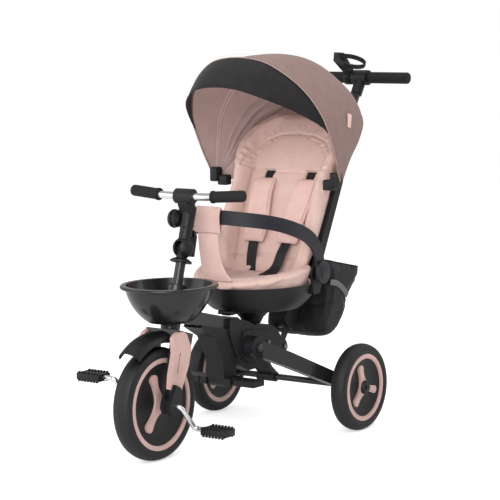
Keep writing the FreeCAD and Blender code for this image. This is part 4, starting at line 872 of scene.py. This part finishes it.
def make_harness():
    """Two wide soft shoulder pads from the slots down, and the black webs below them to the seat."""
    lift = (back_spot(0, -1, 0) - back_spot(0, 0, 0)).normalized()

    def section(share):
        ends = min(1.0, share / 0.04, (1.0 - share) / 0.05)
        ends = max(ends, 0.05) ** 0.5
        channel = 1.0 + 0.05 * math.sin(share * 3.2)
        return pad_outline(0.031 * channel * (0.86 + 0.14 * ends), 0.0068 * ends, 36, 0.5)

    for word, top, foot in (("left", -58.0, -44.0), ("right", 68.0, 58.0)):
        path = [back_spot(top, -17.0, 240.0), back_spot(top, -25.0, 226.0), back_spot(top, -28.0, 200.0),
                back_spot((top + foot) / 2, -29.0, 150.0), back_spot(foot, -29.0, 100.0),
                back_spot(foot, -29.0, 66.0)]
        line = smooth_line(path, 60)
        pad = sweep("shoulder_pad_" + word, line, section, lift)
        dress(pad, "pad_cloth", "backrest", ("harness",) if word == "left" else ())
        edge = [point + lift * 0.0062 + Vector((0.0265, 0.0, 0.0)) for point in line[4:-4]]
        seam = sweep("pad_piping_" + word, edge, round_outline(0.0011, 8), lift)
        dress(seam, "light_piping", "backrest")
    seat_top = 0.389
    webs = {
        "left": [back_spot(-44, -27, 74), back_spot(-42, -27, 50), back_spot(-41, -22, 24),
                 Vector((-0.040, 0.049, seat_top + 0.003))],
        "right": [back_spot(58, -27, 74), back_spot(56, -36, 40), Vector((0.048, 0.026, 0.403)),
                  Vector((0.040, 0.004, seat_top + 0.001)), Vector((0.036, -0.010, seat_top - 0.003))],
    }
    for word, path in webs.items():
        line = smooth_line(path, 40)
        web = sweep("lap_web_" + word, line, pad_outline(0.0140, 0.0014, 16, 0.4), Vector((0.0, -1.0, 0.35)))
        dress(web, "webbing", "backrest")


# The seat cushion's rings in millimetres: height, half width, half length and middle along Y.
SEAT_PROFILE = (
    (322.0, 0.0, 0.0, 15.0), (322.0, 96.0, 102.0, 15.0), (334.0, 119.0, 131.0, 17.0),
    (353.0, 132.5, 149.5, 19.0), (371.5, 142.0, 164.0, 20.0),
    (373.5, 148.5, 175.0, 19.0), (380.0, 151.5, 179.0, 18.0), (388.0, 147.0, 174.0, 18.0),
    (392.5, 132.0, 158.0, 17.0), (388.5, 114.0, 138.0, 16.0), (387.0, 80.0, 98.0, 12.0),
    (386.5, 40.0, 50.0, 8.0), (386.5, 0.0, 0.0, 5.0))


# Behind this place, in metres, the cushion's rim rises towards the ears.
RIM_FRONT = -0.152
RIM_RISE = math.radians(8.5)
SEAT_MIDDLE = 17.0
SEAT_HALF_WIDTH = 147.0
SEAT_HALF_LENGTH = 173.0


def seat_ring(height, half_x, half_y, middle, count):
    """One ring of the seat cushion, cut flat where the back stands behind it."""
    limit = 94.0 if height < 366.0 else 49.0
    ring = []
    for k in range(count):
        turn = 2 * math.pi * k / count
        y = middle + half_y * math.sin(turn)
        ring.append(Vector((half_x * math.cos(turn), min(y, limit), height)) * 0.001)
    return ring


def make_seat_cushion():
    """Padded seat whose liner folds over the shell's rim in shallow scallops."""
    profile = smooth_line([Vector(row) for row in SEAT_PROFILE], 64)
    rings = [seat_ring(row[0], max(row[1], 0.4), max(row[2], 0.4), row[3], 120) for row in profile]
    cushion = swell(shell_from("seat_pad", rings), 0.005, 0.004)
    place, facing = read_vertices(cushion)
    x, y, z = place[:, 0] * 1000, place[:, 1] * 1000 - SEAT_MIDDLE, place[:, 2] * 1000
    share = np.hypot(x / SEAT_HALF_WIDTH, y / SEAT_HALF_LENGTH)
    turn = np.arctan2(y / SEAT_HALF_LENGTH, x / SEAT_HALF_WIDTH)
    top = np.clip((facing[:, 2] - 0.1) / 0.4, 0.0, 1.0)
    sink = 3.6 * np.exp(-((share - 0.80) * 150.0 / 3.4) ** 2) * (y < 30)
    for line in ([(-46, -110), (-40, 20)], [(46, -110), (40, 20)]):
        sink += 2.2 * np.exp(-(line_distance(x, y, line) / 3.2) ** 2)
    wrinkle = np.sin(turn * 31.0) * np.sin(turn * 12.0 + 1.0) * np.exp(-((share - 0.93) / 0.06) ** 2)
    sink += 1.1 * wrinkle
    place -= facing * (sink * top)[:, None] * 0.001
    hem = np.clip((379.0 - z) / 5.0, 0.0, 1.0) * (z > 366.0) * (share > 0.93)
    scallop = np.abs(np.sin(turn * 8.0 + 0.6)) ** 0.7
    place[:, 2] += hem * (0.0065 - 0.0060 * scallop) * (y < 60)
    low = (share > 0.985) & (place[:, 2] * 1000 < 373.0) & (z > 366.0)
    place[low, 2] = 0.3731
    edge = np.clip((share - 0.62) / 0.32, 0.0, 1.0)
    edge = edge * edge * (3.0 - 2.0 * edge) * np.clip((z - 350.0) / 22.0, 0.0, 1.0)
    place[:, 2] += edge * np.maximum(place[:, 1] - RIM_FRONT, 0.0) * math.tan(RIM_RISE)
    write_vertices(cushion, place)
    dress(cushion, "pink_cloth", "seat", ("seat_cushion",))


def make_ring_sleeve():
    """The soft sleeve over the bumper's middle and the strap that runs from it down to the seat."""
    def line(points, count):
        return smooth_line([Vector((0.003, y * 0.001, z * 0.001)) for y, z in points], count)

    wrap = line([(-191.5, 513), (-193.5, 535), (-193.0, 560), (-186.0, 573), (-177.5, 562), (-176.0, 540),
                 (-178.5, 515)], 60)
    side = Vector((1.0, 0.0, 0.0))

    def flap(share):
        open_end = min(1.0, share / 0.05, (1.0 - share) / 0.05)
        return [(b, a) for a, b in pad_outline(0.0400, 0.0016 + 0.0009 * max(open_end, 0.0), 28, 0.35)]

    sleeve = sweep("bumper_sleeve", wrap, flap, side)
    dress(sleeve, "pad_cloth", "bumper", ("ring_sleeve",))

    strap_line = line([(-184.0, 524), (-184.0, 500), (-181.0, 470), (-172.0, 436), (-158.0, 408),
                       (-146.0, 394)], 64)

    def strap(share):
        wide = 0.0290 + 0.0110 * max(share - 0.45, 0.0) ** 1.6 / 0.55 ** 1.6
        return [(b, a) for a, b in pad_outline(wide, 0.0042, 28, 0.4)]

    column = sweep("crotch_strap", strap_line, strap, side)
    dress(column, "pad_cloth", "bumper")
    places = [-0.033 + 0.072 * k / 20.0 for k in range(21)]
    hem_line = [Vector((x, -0.1942, 0.5205 + 0.001 * math.cos(x * 60))) for x in places]
    stitches = stitch_line("sleeve_stitches", hem_line, [Vector((0.0, -1.0, 0.0))], 0.0048)
    dress(stitches, "pink_thread", "bumper")


# The bag's side view in millimetres: (Y, Z) points round it.
BAG_OUTLINE = ((206, 416), (203, 375), (197, 330), (187, 285), (177, 240), (183, 217), (203, 208), (234, 214),
               (270, 240), (296, 268), (309, 300), (333, 322), (356, 350), (372, 380), (318, 396), (260, 407))


def make_bag():
    """Sagging storage bag behind the seat: a lofted skin, open at the top, with a piped rim."""
    half = 88.0
    stations = 45
    middle = Vector((0.245, 0.300))
    side_view = smooth_line(BAG_OUTLINE, 120, closed=True)
    outline = [Vector((point[0] * 0.001, point[1] * 0.001)) for point in side_view]
    rings = []
    for k in range(stations):
        share = 2.0 * k / (stations - 1) - 1.0
        shrink = 1.0 - 0.10 * abs(share) ** 6 - 0.012
        drawn_in = [middle + (flat - middle) * shrink for flat in outline]
        rings.append([Vector((half * 0.001 * share, flat[0], flat[1])) for flat in drawn_in])
    bag = swell(shell_from("bag_skin", rings), 0.0055, 0.005)
    place, facing = read_vertices(bag)
    x, y, z = (place[:, k] * 1000 for k in range(3))
    sag = 2.4 * np.sin(x / 90.0 * 4.2 + 0.7) * np.sin((z - 214) / 38.0) * (z < 380)
    sag += 1.2 * np.sin(x / 14.0 + z / 21.0) * np.exp(-((z - 300.0) / 60.0) ** 2)
    waist = 3.6 * np.exp(-((z - 306.0 - (y - 300) * 0.1) / 5.0) ** 2)
    place -= facing * ((sag * 0.6 + waist) * 0.001)[:, None]
    place[:, 0] = np.clip(place[:, 0], -0.0905, 0.0905)
    write_vertices(bag, place)
    shape = bmesh.new()
    shape.from_mesh(bag.data)
    plane_point = Vector((0.0, 0.205, 0.408))
    plane_normal = Vector((0.0, 0.036, 0.164)).normalized()
    cut = bmesh.ops.bisect_plane(shape, geom=shape.verts[:] + shape.edges[:] + shape.faces[:],
                                 plane_co=plane_point, plane_no=plane_normal, clear_outer=True)
    rim = [item for item in cut["geom_cut"] if isinstance(item, bmesh.types.BMEdge)]
    loop = ordered_loop(rim)
    shape.to_mesh(bag.data)
    shape.free()
    thicken(bag, 0.0018)
    dress(bag, "bag_cloth", "handle", ("storage_bag",))
    line = smooth_line(loop[::3], 160, closed=True)
    rim_bar = sweep("bag_rim", line + [line[0]], round_outline(0.0026, 10), plane_normal)
    dress(rim_bar, "black_cloth", "handle")
    strap_spots = ((90, 214, 352), (91.5, 240, 346), (92, 268, 330), (91, 292, 309))
    for word, side in (("near", 1.0), ("far", -1.0)):
        path = smooth_line([Vector((side * x * 0.001, y * 0.001, z * 0.001)) for x, y, z in strap_spots], 24)
        section = pad_outline(0.0075, 0.0011, 16, 0.4)
        strap = sweep("bag_strap_" + word, path, section, Vector((side, 0.0, 0.0)))
        dress(strap, "grey_webbing", "handle")


def ordered_loop(edges):
    """The corners of a closed loop of edges, in order."""
    links = {}
    for edge in edges:
        for a, b in ((edge.verts[0], edge.verts[1]), (edge.verts[1], edge.verts[0])):
            links.setdefault(a, []).append(b)
    loop = [edges[0].verts[0]]
    before, here = None, loop[0]
    while True:
        ahead = [other for other in links[here] if other is not before][0]
        if ahead is loop[0]:
            return [corner.co.copy() for corner in loop]
        before, here = here, ahead
        loop.append(here)


def make_cube(middle, size, bevel=0.0, segments=2):
    deselect()
    bpy.ops.mesh.primitive_cube_add(size=1.0, location=middle)
    block = bpy.context.object
    block.scale = size
    bpy.ops.object.transform_apply(location=True, rotation=True, scale=True)
    if bevel:
        bpy.ops.object.mode_set(mode="EDIT")
        bpy.ops.mesh.select_all(action="SELECT")
        bpy.ops.mesh.bevel(offset=bevel, segments=segments)
        bpy.ops.object.mode_set(mode="OBJECT")
    return block


def make_drum(middle, radius, depth, bevel=0.0, corners=48):
    """A round block whose axis runs across the tricycle."""
    deselect()
    bpy.ops.mesh.primitive_cylinder_add(vertices=corners, radius=radius, depth=depth, location=middle,
                                        rotation=(0.0, math.pi / 2, 0.0))
    drum = bpy.context.object
    bpy.ops.object.transform_apply(location=True, rotation=True, scale=True)
    if bevel:
        bpy.ops.object.mode_set(mode="EDIT")
        bpy.ops.mesh.select_all(action="DESELECT")
        bpy.ops.mesh.select_mode(type="FACE")
        bpy.ops.object.mode_set(mode="OBJECT")
        for face in drum.data.polygons:
            face.select = len(face.vertices) > 4
        bpy.ops.object.mode_set(mode="EDIT")
        bpy.ops.mesh.bevel(offset=bevel, segments=3)
        bpy.ops.object.mode_set(mode="OBJECT")
    return drum


def join_parts(name, parts):
    deselect()
    for part in parts:
        part.select_set(True)
    bpy.context.view_layer.objects.active = parts[0]
    bpy.ops.object.join()
    whole = bpy.context.object
    whole.name = name
    bpy.ops.object.shade_smooth_by_angle(angle=math.radians(35.0))
    return whole


def make_pedals():
    """A toothed pedal, modelled once and copied to the other crank."""
    parts = [make_cube((0.0, 0.0, 0.0), (0.066, 0.016, 0.017), 0.003),
             make_cube((-0.030, 0.0, 0.0), (0.010, 0.043, 0.018), 0.003),
             make_cube((0.030, 0.0, 0.0), (0.010, 0.043, 0.018), 0.003)]
    for edge in (-1.0, 1.0):
        parts.append(make_cube((0.0, edge * 0.0185, 0.0), (0.064, 0.007, 0.015), 0.002))
        for k in range(7):
            for face in (-1.0, 1.0):
                middle = (-0.027 + 0.009 * k, edge * 0.0187, face * 0.0093)
                parts.append(make_cube(middle, (0.0048, 0.0060, 0.0052), 0.001))
    for k in range(3):
        parts.append(make_cube((-0.015 + 0.015 * k, 0.0, 0.0), (0.004, 0.036, 0.012), 0.001))
    first = join_parts("pedal_tread_left", parts)
    second = first.copy()
    second.data = first.data.copy()
    second.name = "pedal_tread_right"
    bpy.context.scene.collection.objects.link(second)
    for pedal, place, body, solid in ((first, (0.155, -0.361, 0.078), "left_pedal", "pedal_left"),
                                      (second, (-0.155, -0.431, 0.188), "right_pedal", "pedal_right")):
        pedal.data.transform(Matrix.Translation(place))
        dress(pedal, "dark_plastic", body, (solid,))


def make_ear_caps():
    """Round caps over the bumper's pivots."""
    caps = [make_drum((side * 0.1665, 0.063, 0.400), 0.028, 0.011, 0.004) for side in (-1.0, 1.0)]
    caps += [make_drum((side * 0.1725, 0.063, 0.400), 0.015, 0.003, 0.001) for side in (-1.0, 1.0)]
    dress(join_parts("bumper_caps", caps), "band_vinyl", "bumper")


def make_canopy_clips():
    """The two black clips that hold the canopy's lower corners on the back's bars."""
    parts = []
    for side in (-1.0, 1.0):
        parts.append(make_cube((side * 0.182, 0.100, 0.624), (0.022, 0.028, 0.036), 0.004, 3))
        parts.append(make_cube((side * 0.160, 0.106, 0.610), (0.028, 0.026, 0.026), 0.004, 3))
    dress(join_parts("canopy_clips", parts), "dark_plastic", "backrest", ("canopy_hubs",))


make_canopy_skins()
make_visor()
make_rear_flap()
make_canopy_tag()
make_canopy_clips()
make_pedals()
make_ear_caps()
make_back_cushion()
make_harness_slot_shades()
make_harness()
make_seat_cushion()
make_ring_sleeve()
make_bag()


def camera_turn():
    """The camera's own axes: right, up and back, with the roll of the photograph."""
    azimuth = math.radians(CAMERA_AZIMUTH)
    elevation = math.radians(CAMERA_ELEVATION)
    roll = math.radians(CAMERA_ROLL)
    back = Vector((math.sin(azimuth) * math.cos(elevation), -math.cos(azimuth) * math.cos(elevation),
                   math.sin(elevation)))
    right = Vector((math.cos(azimuth), math.sin(azimuth), 0.0))
    up = back.cross(right)
    level_right = math.cos(roll) * right + math.sin(roll) * up
    level_up = math.cos(roll) * up - math.sin(roll) * right
    return Matrix((level_right, level_up, back)).transposed()


def set_up_studio():
    """Camera, pale sweep and soft lamps."""
    lens = bpy.data.cameras.new("camera")
    lens.lens = CAMERA_LENS
    lens.sensor_width = CAMERA_SENSOR
    camera = bpy.data.objects.new("camera", lens)
    camera.matrix_world = Matrix.Translation(CAMERA_PLACE) @ camera_turn().to_4x4()
    bpy.context.scene.collection.objects.link(camera)
    bpy.context.scene.camera = camera

    bpy.ops.mesh.primitive_plane_add(size=14.0, location=(0.0, 0.0, 0.0))
    floor = bpy.context.object
    floor.name = "floor"
    material, tree, shader = start_material("pale_floor", 0.9)
    shader.inputs["Base Color"].default_value = (0.9, 0.9, 0.9, 1.0)
    shader.inputs["Specular IOR Level"].default_value = 0.1
    shader.inputs["Emission Color"].default_value = (1.0, 1.0, 1.0, 1.0)
    seen = add_node(tree, "ShaderNodeLightPath")
    glow = arithmetic(tree, "MULTIPLY", seen.outputs["Is Camera Ray"], 0.5)
    tree.links.new(glow, shader.inputs["Emission Strength"])
    floor.data.materials.append(material)

    world = bpy.data.worlds.new("studio")
    world.use_nodes = True
    tree = world.node_tree
    tree.nodes.clear()
    path = add_node(tree, "ShaderNodeLightPath")
    soft = add_node(tree, "ShaderNodeBackground")
    soft.inputs["Color"].default_value = (1.0, 1.0, 1.0, 1.0)
    soft.inputs["Strength"].default_value = 0.55
    seen = add_node(tree, "ShaderNodeBackground")
    seen.inputs["Color"].default_value = (1.0, 1.0, 1.0, 1.0)
    seen.inputs["Strength"].default_value = 1.0
    either = arithmetic(tree, "MAXIMUM", path.outputs["Is Camera Ray"], path.outputs["Is Transmission Ray"])
    blend = add_node(tree, "ShaderNodeMixShader")
    tree.links.new(either, blend.inputs[0])
    tree.links.new(soft.outputs[0], blend.inputs[1])
    tree.links.new(seen.outputs[0], blend.inputs[2])
    result = add_node(tree, "ShaderNodeOutputWorld")
    tree.links.new(blend.outputs[0], result.inputs[0])
    bpy.context.scene.world = world

    for name, place, power, size in (
            ("key_lamp", (0.9, -2.9, 2.2), 62.0, 2.0),
            ("fill_lamp", (-2.4, -2.4, 1.4), 34.0, 2.6),
            ("low_lamp", (1.6, -3.4, 0.7), 44.0, 2.2),
            ("top_lamp", (0.2, 0.4, 3.4), 34.0, 3.0),
            ("rim_lamp", (2.2, 2.2, 2.0), 22.0, 2.0)):
        lamp = bpy.data.lights.new(name, "AREA")
        lamp.energy = power
        lamp.size = size
        stand = bpy.data.objects.new(name, lamp)
        stand.location = place
        stand.rotation_euler = (Vector((0.0, 0.0, 0.45)) - Vector(place)).to_track_quat("-Z", "Y").to_euler()
        bpy.context.scene.collection.objects.link(stand)
    bpy.context.scene.view_settings.view_transform = "Standard"


set_up_studio()
